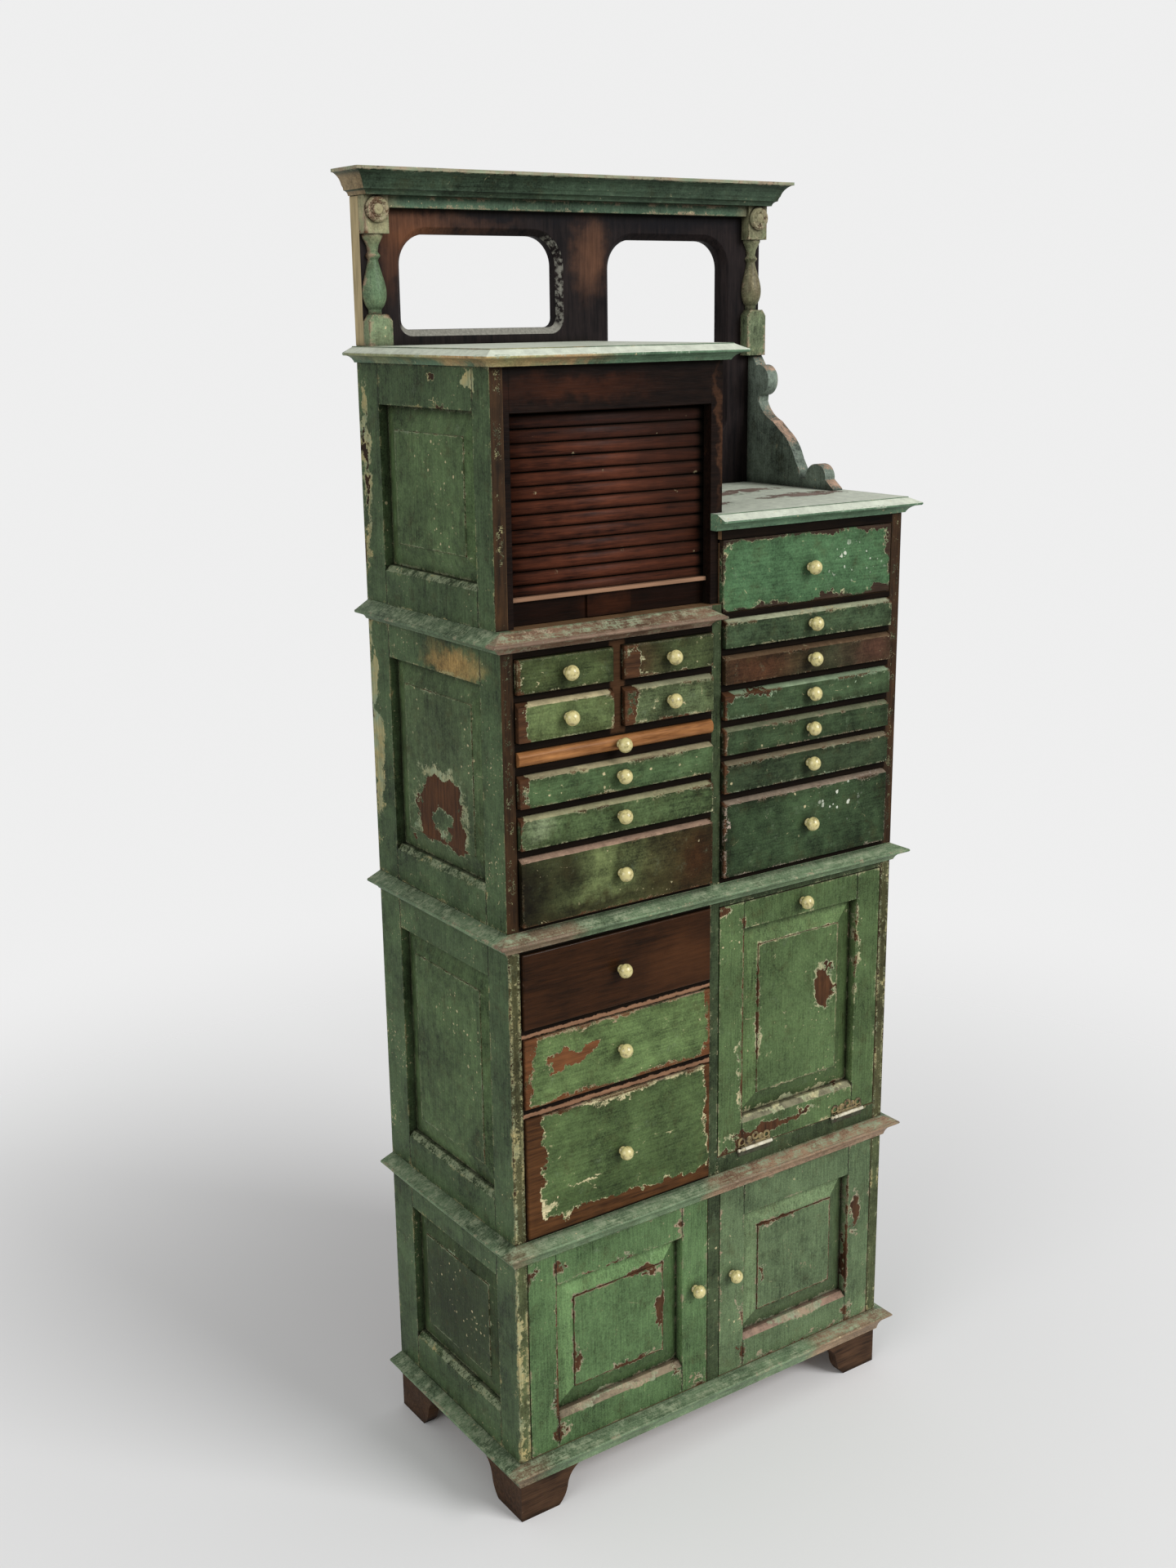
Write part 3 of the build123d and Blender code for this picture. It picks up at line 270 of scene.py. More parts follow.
def aged_paint(
    name,
    paint,
    along="z",
    wear=0.0,
    edge=0.6,
    rub=0.0,
    ledge=PINK,
    ledge_dark=0.4,
    top=0.5,
    rim=0.18,
    bare=(),
    pale=(),
    tints=(),
    grime=(),
    drops=(),
    face=None,
    inner=None,
    wood=(DARK_WOOD, BROWN_WOOD),
    under=(MINT, CREAM),
    specks=0.35,
    contrast=1.0,
    slopes=0.0,
    shift=0.0,
):
    """Old paint over a pale undercoat over wood, worn through along its edges and where the marks say; painted shade
    darkens its corners, and its upward faces are paler, partly worn and partly as painted light from above.
    """
    w = Wiring(name)
    w.make_ragged()
    outside = w.edges(6.0)
    # painted shade: the mask of darkening deep in corners
    corner = w.crevice_shade(14.0)
    broad = w.noise(95.0, 3.0, 0.5, shift=shift)
    mid = w.noise(15.0, 7.0, 0.72, shift=shift + 11.0)
    other = w.noise(34.0, 7.0, 0.74, shift=shift + 23.0)
    fine = w.noise(2.2, 3.0, 0.65, shift=shift)
    brush = w.noise(2.4, 3.0, 0.55, GRAIN[along], shift)
    upward = w.step(w.facing["z"], 0.3, 0.8)

    # where the paint is lost, the pale rim round that, where it is rubbed thin, and small damage
    worn = w.total((mid, 0.34), (other, 0.16), (fine, 0.12), (outside, edge), (w.marks(bare), 1.0))
    worn = w.plus(worn, wear)
    lost = w.step(worn, 0.70, 0.73)
    rim_width = w.plus(w.total((other, 0.8), (mid, 0.6)), 0.35, clamp=True)
    edged = w.step(w.math("MULTIPLY_ADD", rim_width, rim, worn), 0.69, 0.72)
    rubbed = w.total((other, 0.34), (fine, 0.16), (mid, 0.2), (outside, edge * 0.6), (w.marks(pale), 1.0))
    rubbed = w.step(w.plus(rubbed, rub), 0.60, 0.78)
    # the upward faces, paler where worn and paler as painted light from above
    lit_worn_top = w.step(w.total((upward, top), (mid, 0.3), (fine, 0.15), (brush, 0.2)), 0.3, 0.62)
    small = w.noise(5.0, 4.0, 0.6, shift=shift + 31.0)
    chips = w.math("MULTIPLY_ADD", broad, 0.25, w.times(small, 0.5))
    chips = w.step(w.plus(chips, specks * 0.4), 0.62, 0.68)
    dents = w.step(w.math("MULTIPLY_ADD", other, 0.3, w.noise(7.0, 4.0, 0.6, shift=shift + 41.0)), 0.9, 1.05)
    drawn = w.math("ABSOLUTE", w.noise(44.0, 1.5, 0.4, (1.0, 1.0, 0.6), shift + 61.0))
    scratch = w.times(w.step(drawn, 0.016, 0.006), w.step(mid, 0.3, 0.6))

    # the paint itself
    clouds = [(broad, 0.36 * contrast), (mid, 0.34 * contrast), (other, 0.2 * contrast)]
    shade = w.plus(w.total(*clouds, (brush, 0.2), (fine, 0.3)), 0.5, clamp=True)
    surface = w.mix(shade, scaled(paint, 0.3), scaled(paint, 1.72))
    for mark, tint, amount in tints:
        stained = w.mix(shade, scaled(tint, 0.4), scaled(tint, 1.6))
        surface = w.veil(surface, w.where(mark), amount, stained)
    glaze = w.step(w.noise(24.0, 6.0, 0.7, shift=shift + 51.0), 0.0, 1.1)
    surface = w.veil(surface, glaze, 0.45, rgb(62, 54, 28))
    scuff = w.step(w.noise(21.0, 8.0, 0.8, shift=shift + 71.0), 0.25, 1.2)
    surface = w.veil(surface, scuff, 0.38, MINT)
    # painted light on sloped panel faces: faces that look up and faces that look left are lightened as a painted
    # highlight, faces that look right and faces that look down are darkened as painted shade
    if slopes:
        lit = w.step(w.minus(w.facing["z"], w.facing["x"]), 0.06, 0.2)
        surface = w.veil(surface, lit, slopes, (1.75, 1.7, 1.7, 1.0), "MULTIPLY")
        shaded = w.step(w.minus(w.facing["x"], w.facing["z"]), 0.06, 0.2)
        surface = w.veil(surface, shaded, slopes, (0.55, 0.55, 0.5, 1.0), "MULTIPLY")
    # each front made darker towards its edges
    if face is not None:
        across, up = [
            w.minus((high - low) / 2, w.math("ABSOLUTE", w.minus(w.patch[axis], (low + high) / 2)))
            for axis, low, high in (("x", *face[:2]), ("z", *face[2:]))
        ]
        near_edge = w.step(w.math("MINIMUM", across, up), 20.0, -4.0)
        surface = w.veil(surface, near_edge, 0.6, (0.36, 0.32, 0.26, 1.0), "MULTIPLY")
    surface = w.veil(surface, dents, 0.85, scaled(paint, 0.2))

    # the undercoat, the ledges (worn, and paler as painted light from above), the wood, and painted shade in corners
    # with grime along joints
    below = w.mix(w.share(other, 0.9, 0.5), *under)
    below = w.mix(w.share(brush, 0.4, 0.25), below, scaled(paint, 1.1))
    lit_worn_ledge = w.mix(w.share(mid, 0.9, 0.5), scaled(ledge, ledge_dark), scaled(ledge, 1.15))
    grain, grain_height = wood_tone(w, *wood, along, shift)
    base = w.mix(lit_worn_top, surface, lit_worn_ledge)
    base = w.mix(w.largest(edged, rubbed), base, below)
    if specks:
        dots = w.times(w.specks(9.0, 2.2, shift), w.step(broad, 0.3 - specks, 0.8 - specks))
        base = w.veil(base, w.largest(dots, chips, scratch), 0.8, CREAM)
    if drops:
        thrown = w.times(w.specks(6.6, 3.5, shift + 81.0), w.largest(*[w.spot(mark) for mark in drops]))
        base = w.veil(base, thrown, 0.9, rgb(214, 218, 200))
    base = w.mix(lost, base, grain)
    # painted shade deep in corners, joined by grime along the joints that are listed
    shade_and_grime = w.times(w.share(mid, 0.5, 1.0), corner)
    if grime:
        shade_and_grime = w.largest(shade_and_grime, w.share(mid, 0.35, w.marks(grime)))
    base = w.veil(base, shade_and_grime, 0.9, DIRT_AND_SHADE)
    height = w.total(
        (lost, -0.35), (edged, -0.1), (rubbed, -0.05), (lit_worn_top, -0.08), (chips, -0.1), (brush, 0.03), (mid, 0.07),
        (fine, 0.03),
    )
    if inner is not None:
        inside = inner(w)
        plain = wood_tone(w, scaled(RAW_WOOD, 0.45), RAW_WOOD, "y" if along == "x" else "z", shift)[0]
        base = w.mix(inside, base, plain)
        height = w.times(height, w.minus(1.0, inside))
    height = w.plus(height, grain_height)
    roughness = w.plus(w.total((lost, 0.12), (rubbed, 0.1), (other, 0.08), (corner, 0.15)), 0.42, clamp=True)
    return w.finish(base, roughness, height, Specular_IOR_Level=0.12)


def old_wood(
    name,
    dark,
    light,
    along="z",
    gloss=0.4,
    edge=0.3,
    rubs=(),
    tints=(),
    worn=PINK,
    inner=None,
    specular=0.1,
    shift=0.0,
    corner_shade=0.8,
    specks=0.0,
):
    """Varnished wood, rubbed lighter at its edges, with painted shade in its corners."""
    w = Wiring(name)
    w.make_ragged()
    outside = w.edges(4.0)
    corner = w.crevice_shade(12.0)
    mid = w.noise(16.0, 6.0, 0.65, shift=shift)
    streak = w.noise(3.0, 4.0, 0.6, GRAIN[along], shift + 5.0)
    base, height = wood_tone(w, dark, light, along, shift)
    for mark, tint, amount in tints:
        varied = w.mix(w.share(streak, 0.5, 0.5), scaled(tint, 0.6), scaled(tint, 1.3))
        base = w.veil(base, w.where(mark), amount, varied)
    wear = w.total((mid, 0.22), (streak, 0.14), (outside, edge), (w.marks(rubs), 1.0))
    rubbed = w.step(wear, 0.5, 0.85)
    rubbed_tone = w.mix(w.share(streak, 0.5, 0.5), scaled(worn, 0.55), worn)
    base = w.veil(base, rubbed, 0.85, rubbed_tone)
    if specks:
        dots = w.times(w.specks(14.0, 3.6, shift), w.step(mid, 0.2 - specks, 0.8 - specks))
        base = w.veil(base, dots, 0.8, CREAM)
    # painted shade in the corners
    base = w.veil(base, corner, corner_shade, DIRT_AND_SHADE)
    if inner is not None:
        base = w.mix(inner(w), base, wood_tone(w, scaled(RAW_WOOD, 0.45), RAW_WOOD, "y", shift)[0])
    roughness = w.plus(w.total((rubbed, 0.25), (mid, 0.07), (corner, 0.2)), gloss, clamp=True)
    height = w.math("MULTIPLY_ADD", rubbed, -0.1, height)
    return w.finish(base, roughness, height, Specular_IOR_Level=specular)


def raw_wood(name, along, seams=(), shift=0.0):
    """Unfinished wood inside the carcass and behind it."""
    w = Wiring(name)
    w.make_ragged()
    base, height = wood_tone(w, scaled(RAW_WOOD, 0.32), scaled(RAW_WOOD, 0.95), along, shift)
    stain = w.step(w.noise(120.0, 6.0, 0.66, shift=shift + 2.0), 0.1, 1.0)
    base = w.veil(base, stain, 0.35, scaled(RAW_WOOD, 0.2))
    # painted shade in the corners
    base = w.veil(base, w.crevice_shade(16.0), 0.6, DIRT_AND_SHADE)
    if seams:
        joints = w.marks(seams)
        base = w.mix(joints, base, DIRT_AND_SHADE)
        height = w.math("MULTIPLY_ADD", joints, -0.6, height)
    return w.finish(base, 0.7, height, Specular_IOR_Level=0.2)


def on_front(y, *spots, depth=30):
    """Marks on a front at y: each spot is (x, z, half width, half height, amount)."""
    return [(x, y, z, wide, depth, high, amount) for x, z, wide, high, amount in spots]


def on_side(x, *spots, depth=20):
    """Marks on a side at x: each spot is (y, z, half width, half height, amount)."""
    return [(x, y, z, depth, wide, high, amount) for y, z, wide, high, amount in spots]


def border(side, box, width, amount):
    """A mark along one side of a front: box is (x0, x1, z0, z1)."""
    axis, at, sign = {"left": ("x", 0, 1), "right": ("x", 1, -1), "bottom": ("z", 2, 1), "top": ("z", 3, -1)}[side]
    limit = box[at] + sign * width
    return lambda w: w.times(w.step(w.patch[axis], limit + sign * 5, limit - sign * 5), amount)


def seam(axis, at, along, low, high, amount, width=1.0):
    """A mark along a straight joint."""
    return lambda w: w.times(
        w.between(w.line[axis], at - width, at + width, 0.6), w.between(w.line[along], low, high), amount,
    )


def field_line(axis, centre, half, z_centre, z_half, amount, width=4.0):
    """A mark along the edges of a panel's field."""

    def mask(w):
        across = w.minus(w.math("ABSOLUTE", w.minus(w.line[axis], centre)), half)
        up = w.minus(w.math("ABSOLUTE", w.minus(w.line["z"], z_centre)), z_half)
        return w.times(w.step(w.math("ABSOLUTE", w.math("MAXIMUM", across, up)), width, 0.0), amount)

    return mask


def facing_front(low, high, amount):
    """A mark between two heights on the foremost faces that look to the front."""
    return lambda w: w.times(
        w.step(w.facing["y"], -0.5, -0.9), w.between(w.line["z"], low, high, 3.0),
        w.step(w.at["y"], Y_CASE + 8.0, Y_CASE + 6.0), amount,
    )


def behind_front(w):
    """All of a drawer behind its front's back."""
    return w.step(w.at["y"], FRONT_BACK - 0.6, FRONT_BACK - 0.2)


def in_carcass(w):
    """The faces that the carcass encloses."""
    across = w.between(w.at["x"], BAYS[0] - 0.4, BAYS[1] + 0.4, 0.2)
    return w.times(across, w.step(w.at["y"], Y_FRONT + 0.3, Y_FRONT + 0.9))


def door_back(w):
    """A door's back face."""
    return w.step(w.at["y"], Y_FRONT + 17.6, Y_FRONT + 17.9)


def wear_material(node, material):
    """Gives a CAD node its material."""
    mesh = cad[node].data
    mesh.materials.clear()
    mesh.materials.append(material)


def soften(node):
    """Rounds a CAD node's sharp edges."""
    cad[node].modifiers.new("weld", "WELD").merge_threshold = 0.00001
    bevel = cad[node].modifiers.new("soft edges", "BEVEL")
    bevel.width = 0.8 * MM
    bevel.segments = 2
    bevel.limit_method = "ANGLE"
    bevel.angle_limit = math.radians(35)


# ---------------- the carcass
X_PANELS, X_FRAMES = -315, -320  # the left side's panels and frames
SIDE_FIELDS = [(248.0, 70.0), (615.0, 121.0), (1009.5, 96.5), (1354.75, 70.25)]  # middle and half height
TIERS = [(90, 148), (348, 382), (412, 464), (766, 809), (834, 883), (1136, 1180), (1205, 1254), (1455, 1505)]
OCHRE = rgb(168, 138, 84)
wear_material("side_panels", aged_paint(
    "panel paint", rgb(70, 88, 56), wear=-0.04, rub=-0.05, rim=0.4, slopes=0.25,
    ledge=rgb(128, 136, 106), under=(rgb(186, 176, 132), MINT),
    bare=[
        *on_side(
            X_PANELS, (6, 984, 34, 18, 0.9), (-22, 960, 30, 32, 0.95), (-36, 924, 20, 22, 0.95),
            (44, 944, 30, 26, 0.95), (30, 974, 22, 18, 0.85), (40, 920, 24, 18, 0.85), (0, 914, 34, 8, 0.7),
            (2, 940, 22, 10, -1.5),
        ),
        *on_side(X_PANELS, (84, 905, 6, 6, 1.1), depth=12),
        *[field_line("y", 10.25, 82.5, z, half, 0.4) for z, half in SIDE_FIELDS],
    ],
    pale=on_side(
        X_PANELS, (15, 1002, 54, 14, 0.62), (-56, 950, 14, 50, 0.55), (40, 916, 44, 14, 0.55),
        (70, 960, 14, 40, 0.5), (4, 962, 70, 56, 0.36), (10, 265, 60, 12, 0.42), (40, 700, 60, 30, 0.34),
        (-10, 620, 50, 40, 0.26),
    ),
    tints=[
        ((X_PANELS, 10, 248, 30, 160, 110), rgb(34, 43, 24), 0.95),
        ((X_PANELS, 0, 1009, 30, 120, 130), rgb(72, 84, 60), 0.6),
    ],
    inner=in_carcass,
))
wear_material("side_frames", aged_paint(
    "side frame paint", rgb(72, 90, 60), wear=-0.02, edge=0.56, specks=0.55, shift=2.0, rim=0.3,
    ledge=rgb(146, 156, 124), ledge_dark=0.55, under=(MINT, rgb(196, 178, 124)),
    wood=(rgb(30, 21, 13), rgb(78, 54, 32)),
    bare=[
        *on_side(
            X_FRAMES, (160, 1400, 7, 70, 0.7), (168, 1340, 6, 110, 0.6), (-4, 1491, 12, 6, 0.9),
            (-21, 1464, 10, 4, 0.8), (168, 990, 6, 160, 0.5), (-150, 1240, 8, 40, 0.5), depth=14,
        ),
        facing_front(834, 1520, 0.85), facing_front(412, 834, 0.36), facing_front(80, 412, 0.22),
    ],
    pale=[
        *on_side(
            X_FRAMES, (-95, 1490, 16, 8, 1.1), (162, 1000, 18, 170, 0.7), (170, 1060, 10, 110, 0.7),
            (-35, 1140, 56, 5, 0.5), (163, 1400, 16, 100, 0.9), (163, 1250, 10, 60, 0.5),
            (-147, 300, 6, 400, 0.5), depth=14,
        ),
        facing_front(412, 834, 0.26), facing_front(80, 412, 0.24),
        (-312, -142, 1250, 12, 20, 50, 0.5), (-312, -150, 880, 12, 20, 50, 0.4),
        *on_side(
            X_FRAMES, (10, 144, 130, 5, 0.6), (10, 460, 130, 4, 0.45), (10, 879, 130, 4, 0.55),
            (10, 1251, 130, 4, 0.4), (-60, 1110, 30, 14, 0.25), depth=14,
        ),
    ],
    tints=[
        ((X_FRAMES, -44, 1154, 14, 50, 14), OCHRE, 1.0), ((X_FRAMES, -30, 1146, 14, 46, 9), OCHRE, 1.0),
        (facing_front(834, 1520, 1.0), rgb(52, 38, 24), 0.9),
        (facing_front(412, 834, 1.0), rgb(78, 72, 46), 0.8),
        (facing_front(80, 412, 1.0), rgb(84, 88, 56), 0.7),
    ],
    grime=[seam("y", at, "z", low, high, 0.9) for at in (-102.25, 122.75) for low, high in TIERS],
    inner=in_carcass,
))


def nose(low, high, x0, x1, amount=1.0):
    """A mark on the front mouldings between two heights."""
    return lambda w: w.times(
        w.between(w.line["z"], low, high, 2.0), w.between(w.patch["x"], x0, x1, 18.0),
        w.step(w.line["y"], -147.0, -152.0), amount,
    )


W1_BOARD, W2_BOARD, W3_BOARD, BASE_BOARD = (375, 416), (800, 838), (1172, 1210), (50, 95)
wear_material("moulded_boards", aged_paint(
    "moulding paint", rgb(106, 126, 96), along="x", edge=0.5, wear=-0.02, rub=0.06, top=0.4, specks=0.3,
    shift=5.0, contrast=0.8, ledge=rgb(146, 157, 128), ledge_dark=0.55,
    wood=(scaled(PINK, 0.3), scaled(PINK, 0.8)), under=(rgb(164, 180, 150), PINK),
    bare=[nose(*W3_BOARD, -345, 12, 0.52), nose(*W1_BOARD, -10, 350, 0.25), nose(*W2_BOARD, -345, -240, 0.3)],
    tints=[
        (nose(*W3_BOARD, -345, 12), rgb(128, 102, 82), 1.0),
        (nose(*W2_BOARD, -345, -225), rgb(146, 120, 98), 0.8),
        (nose(*W1_BOARD, -10, 350), rgb(172, 132, 108), 0.75),
        (nose(*BASE_BOARD, 190, 350), rgb(150, 120, 98), 0.8),
        (nose(*BASE_BOARD, -345, -290), rgb(150, 120, 98), 0.7),
        (nose(*W1_BOARD, -345, -300), rgb(140, 116, 92), 0.6),
    ],
    inner=in_carcass,
))
# the worktops' upward faces are painted very pale, partly worn paint and partly painted light from above
wear_material("worktops", aged_paint(
    "worktop paint", rgb(96, 124, 98), along="x", edge=0.45, rub=0.05, top=1.6, specks=0.25, shift=8.0,
    contrast=0.6, ledge=rgb(212, 218, 200), ledge_dark=0.84,
    under=(rgb(198, 206, 188), rgb(170, 182, 160)), wood=(rgb(96, 78, 70), rgb(168, 146, 134)),
    bare=[
        (110, 40, 1319, 120, 30, 10, 1.0), (240, -40, 1319, 90, 26, 10, 1.0), (60, 110, 1319, 60, 30, 10, 0.9),
        (60, -60, 1319, 60, 24, 10, 0.9), (240, 60, 1319, 50, 20, 10, 0.8),
    ],
    tints=[
        ((-345, 0, 1515, 16, 240, 20), rgb(176, 172, 122), 0.8),
        ((-290, -160, 1515, 60, 20, 16), rgb(186, 176, 122), 0.9),
        ((-335, -110, 1513, 20, 60, 10), rgb(200, 156, 108), 0.8),
        ((-230, -162, 1512, 50, 20, 8), rgb(196, 156, 112), 0.8),
    ],
))


def rail_arris_highlight(w):
    """The arris of the rails between the middle drawers, above drawers 2 and 3, where a pale line is painted as a
    highlight.
    """
    lit = w.largest(w.between(w.line["z"], 692.5, 697.5, 0.8), w.between(w.line["z"], 584.5, 590.0, 0.8))
    bay = w.step(w.line["x"], -4.0, -6.0)
    return w.times(lit, bay, w.step(w.line["y"], Y_FRONT + 2.5, Y_FRONT + 1.5))


def between_small_drawers(w):
    """The post and rails round the four small drawers."""
    return w.times(w.between(w.line["z"], 1062.0, 1178.0, 2.0), w.between(w.line["x"], -164.0, -142.0, 2.0))


wear_material("partitions", aged_paint(
    "partition paint", rgb(60, 72, 48), wear=0.1, edge=0.4, shift=3.0, inner=in_carcass,
))
wear_material("drawer_runners", old_wood(
    "rail wood", rgb(9, 6, 4), rgb(30, 20, 12), "x", 0.6, edge=0.12, specular=0.05,
    worn=rgb(70, 50, 34), inner=in_carcass,
    # the first tint is a painted highlight along the rails' arris
    tints=[(rail_arris_highlight, rgb(164, 124, 96), 0.85), (between_small_drawers, rgb(84, 58, 38), 0.8)],
))
BACK_JOINTS = (188, 286, 397, 502, 606, 708, 821, 936, 1058, 1192, 1296, 1402)
wear_material("back_boards", raw_wood(
    "back wood", "x", [seam("z", at, "x", -330, 330, 0.85, 0.7) for at in BACK_JOINTS],
))
wear_material("bracket_feet", old_wood(
    "foot wood", rgb(36, 24, 16), rgb(92, 66, 46), "x", 0.55, edge=0.4, shift=4.0,
    worn=rgb(146, 120, 98), specks=0.3,
))

# ---------------- the drawers, doors and fall front
Y_DRAWERS = -150  # where marks on the drawer fronts are centred
WORN_ARRIS = (5, 0.42)  # width and amount of the wear along an upper edge
# Each drawer front: its paint, the width and amount of the bare strips along its sides, and its marks.
FRONTS = {
    "drawer_small_upper_left": dict(
        paint=rgb(72, 84, 50), left=(5, 0.6), bottom=(2, 0.4), top=0.4, ledge=rgb(96, 88, 58),
    ),
    "drawer_small_upper_right": dict(
        paint=rgb(68, 78, 48), left=(20, 0.7), bottom=(7, 0.6), top=0.4, ledge=rgb(90, 84, 58),
        bare=[(-128, 1150, 20, 12, 0.45)], pale=[(-118, 1142, 10, 4, 0.5)],
        tints=[((-128, 1148, 34, 26, 40), rgb(66, 46, 28), 0.9)],
    ),
    "drawer_small_lower_left": dict(
        paint=rgb(92, 106, 66), left=(13, 0.9), right=(3, 0.5), top=1.0, ledge=CREAM,
        pale=[(-270, 1080, 24, 8, 0.4), (-165, 1095, 5, 30, 0.5)],
    ),
    "drawer_small_lower_right": dict(
        paint=rgb(98, 112, 76), left=(16, 0.8), bottom=(3, 0.5), top=1.0, ledge=rgb(164, 164, 130),
        pale=[(-104, 1096, 14, 14, 0.5)], bare=[(-112, 1088, 20, 8, 0.4)],
    ),
    "drawer_thin_upper": dict(
        paint=rgb(70, 90, 58), left=(14, 0.75), bottom=(2, 0.3), top=0.9, ledge=rgb(168, 158, 124),
    ),
    "drawer_thin_lower": dict(
        paint=rgb(80, 98, 62), left=(6, 0.7), top=0.9, ledge=rgb(170, 166, 128),
        tints=[((-272, 962, 18, 16, 30), rgb(146, 160, 122), 0.9)],
    ),
    "drawer_deep": dict(
        paint=rgb(92, 102, 64), bottom=(3, 0.4), top=0.9, under=(PINK, CREAM), rim=0.03, contrast=1.3,
        tints=[
            ((-300, 880, 64, 90, 60), rgb(25, 21, 9), 1.0), ((-232, 900, 24, 26, 60), rgb(30, 26, 12), 0.9),
            ((-30, 880, 78, 90, 60), rgb(52, 32, 14), 1.0), ((-96, 862, 30, 14, 60), rgb(44, 38, 18), 0.8),
            ((-190, 846, 90, 9, 60), rgb(40, 34, 16), 0.8),
        ],
    ),
    "drawer_right_1": dict(
        paint=rgb(74, 106, 72), left=(4, 0.6), right=(8, 0.8), bottom=(4, 0.75), ceiling=(5, 0.75), top=0.1,
        contrast=0.7, wood=(rgb(38, 28, 20), rgb(72, 54, 40)),
        bare=[(277, 1199, 24, 8, 0.9), (199, 1282, 24, 6, 0.8), (170, 1196, 20, 5, 0.7), (260, 1280, 40, 4, 0.6)],
        pale=[(60, 1200, 40, 8, 0.3)], drops=[(236, 1240, 44, 22)],
    ),
    "drawer_right_2": dict(
        paint=rgb(66, 84, 58), left=(4, 0.5), top=1.0, ledge=rgb(176, 180, 148),
        pale=[(60, 1180, 50, 6, 0.5)],
    ),
    "drawer_right_3": dict(
        paint=rgb(52, 62, 42), top=0.8, under=(PINK, CREAM), rim=0.05, rub=-0.1, ledge=rgb(110, 88, 66),
        tints=[
            ((64, 1120, 84, 40, 60), rgb(78, 50, 32), 1.0), ((274, 1120, 58, 40, 60), rgb(72, 48, 36), 1.0),
        ],
    ),
    "drawer_right_4": dict(
        paint=rgb(62, 80, 54), left=(6, 0.6), top=1.0, ledge=rgb(150, 170, 136),
        under=(rgb(160, 184, 150), MINT), bare=[(60, 1085, 40, 4, 0.6)],
    ),
    "drawer_right_5": dict(
        paint=rgb(54, 70, 46), left=(4, 0.5), top=0.9, ledge=rgb(124, 128, 100), under=(MINT, PINK),
    ),
    "drawer_right_6": dict(
        paint=rgb(54, 68, 46), left=(4, 0.5), top=0.9, ledge=rgb(146, 134, 108), under=(PINK, MINT),
        pale=[(70, 975, 20, 8, 0.4)],
    ),
    "drawer_right_7": dict(
        paint=rgb(56, 74, 48), left=(3, 0.4), top=0.9, ledge=rgb(150, 134, 116),
        under=(PINK, rgb(184, 168, 156)), pale=[(80, 912, 9, 22, 0.42), (66, 925, 3, 18, 0.5)],
        drops=[(212, 914, 30, 24)],
    ),
    "drawer_middle_2": dict(
        paint=rgb(92, 112, 68), left=(15, 0.85), right=(9, 0.8), bottom=(7, 0.75), ceiling=(3, 0.5), top=0.5,
        wood=(rgb(70, 42, 22), rgb(132, 84, 50)), under=(CREAM, PINK), rim=0.2, halo=(2.2, 0.62),
        bare=[(-230, 653, 30, 10, 1.2), (-205, 655, 16, 7, 0.9), (-262, 646, 12, 8, 0.6)],
    ),
    "drawer_middle_3": dict(
        paint=rgb(76, 94, 56), left=(22, 1.3), right=(6, 1.0), bottom=(19, 1.3), ceiling=(3, 0.5), top=0.6,
        wood=(rgb(48, 28, 12), rgb(106, 68, 36)), under=(CREAM, rgb(228, 214, 170)), rim=0.2,
        halo=(5.0, 0.67), contrast=0.8, bare=[(-262, 578, 40, 5, 0.6)],
        tints=[((-160, 450, 120, 30, 40), rgb(60, 76, 42), 0.7)],
        pale=[(-222, 480, 26, 2.6, 0.8), (-196, 486, 14, 2.4, 0.7), (-268, 452, 16, 12, 0.7)],
    ),
}
for order, (node, look) in enumerate(FRONTS.items()):
    low, high = [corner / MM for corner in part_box(node)]
    face = (low.x, high.x, low.z, high.z)
    worn_sides = {side: look.pop(side, None) for side in ("left", "right", "bottom")}
    worn_sides["top"] = look.pop("ceiling", WORN_ARRIS if look["top"] > 0.7 else None)
    worn_sides = {side: size for side, size in worn_sides.items() if size}
    wider, amount = look.pop("halo", (0.0, 0.0))
    look["bare"] = on_front(Y_DRAWERS, *look.get("bare", ()))
    look["bare"] += [border(side, face, *size) for side, size in worn_sides.items()]
    look["pale"] = on_front(Y_DRAWERS, *look.get("pale", ()))
    if wider:
        look["pale"] += [border(side, face, size[0] + wider, amount) for side, size in worn_sides.items()]
    look["tints"] = [
        ((x, Y_DRAWERS, z, wide, depth, high), tint, share)
        for (x, z, wide, high, depth), tint, share in look.get("tints", ())
    ]
    look["drops"] = [(x, Y_DRAWERS, z, wide, 30, high) for x, z, wide, high in look.get("drops", ())]
    look = {"rim": 0.24, "ledge_dark": 0.6, **look}
    wear_material(node, aged_paint(
        node + " paint", along="x", inner=behind_front, shift=3.7 * order, face=face, **look,
    ))
wear_material("drawer_middle_1", old_wood(
    "plain drawer varnish", rgb(26, 14, 5), rgb(66, 38, 18), "x", 0.3, edge=0.12, inner=behind_front,
    specular=0.12, corner_shade=0.9, rubs=on_front(Y_DRAWERS, (-298, 755, 4, 50, 0.4), (-80, 775, 50, 3, 0.3)),
    tints=[((-60, Y_DRAWERS, 740, 60, 40, 30), rgb(86, 52, 28), 0.5)],
))
wear_material("writing_slide", old_wood(
    "slide varnish", rgb(108, 68, 38), rgb(192, 134, 82), "x", 0.35, inner=behind_front,
    worn=rgb(206, 160, 112), rubs=on_front(Y_DRAWERS, (-250, 1050, 60, 12, 0.35)),
))


def on_stiles(*spots):
    """Marks on the frame of a door."""
    return on_front(-149, *spots, depth=20)


def on_panel(*spots):
    """Marks on the panel of a door."""
    return on_front(-146, *spots, depth=20)


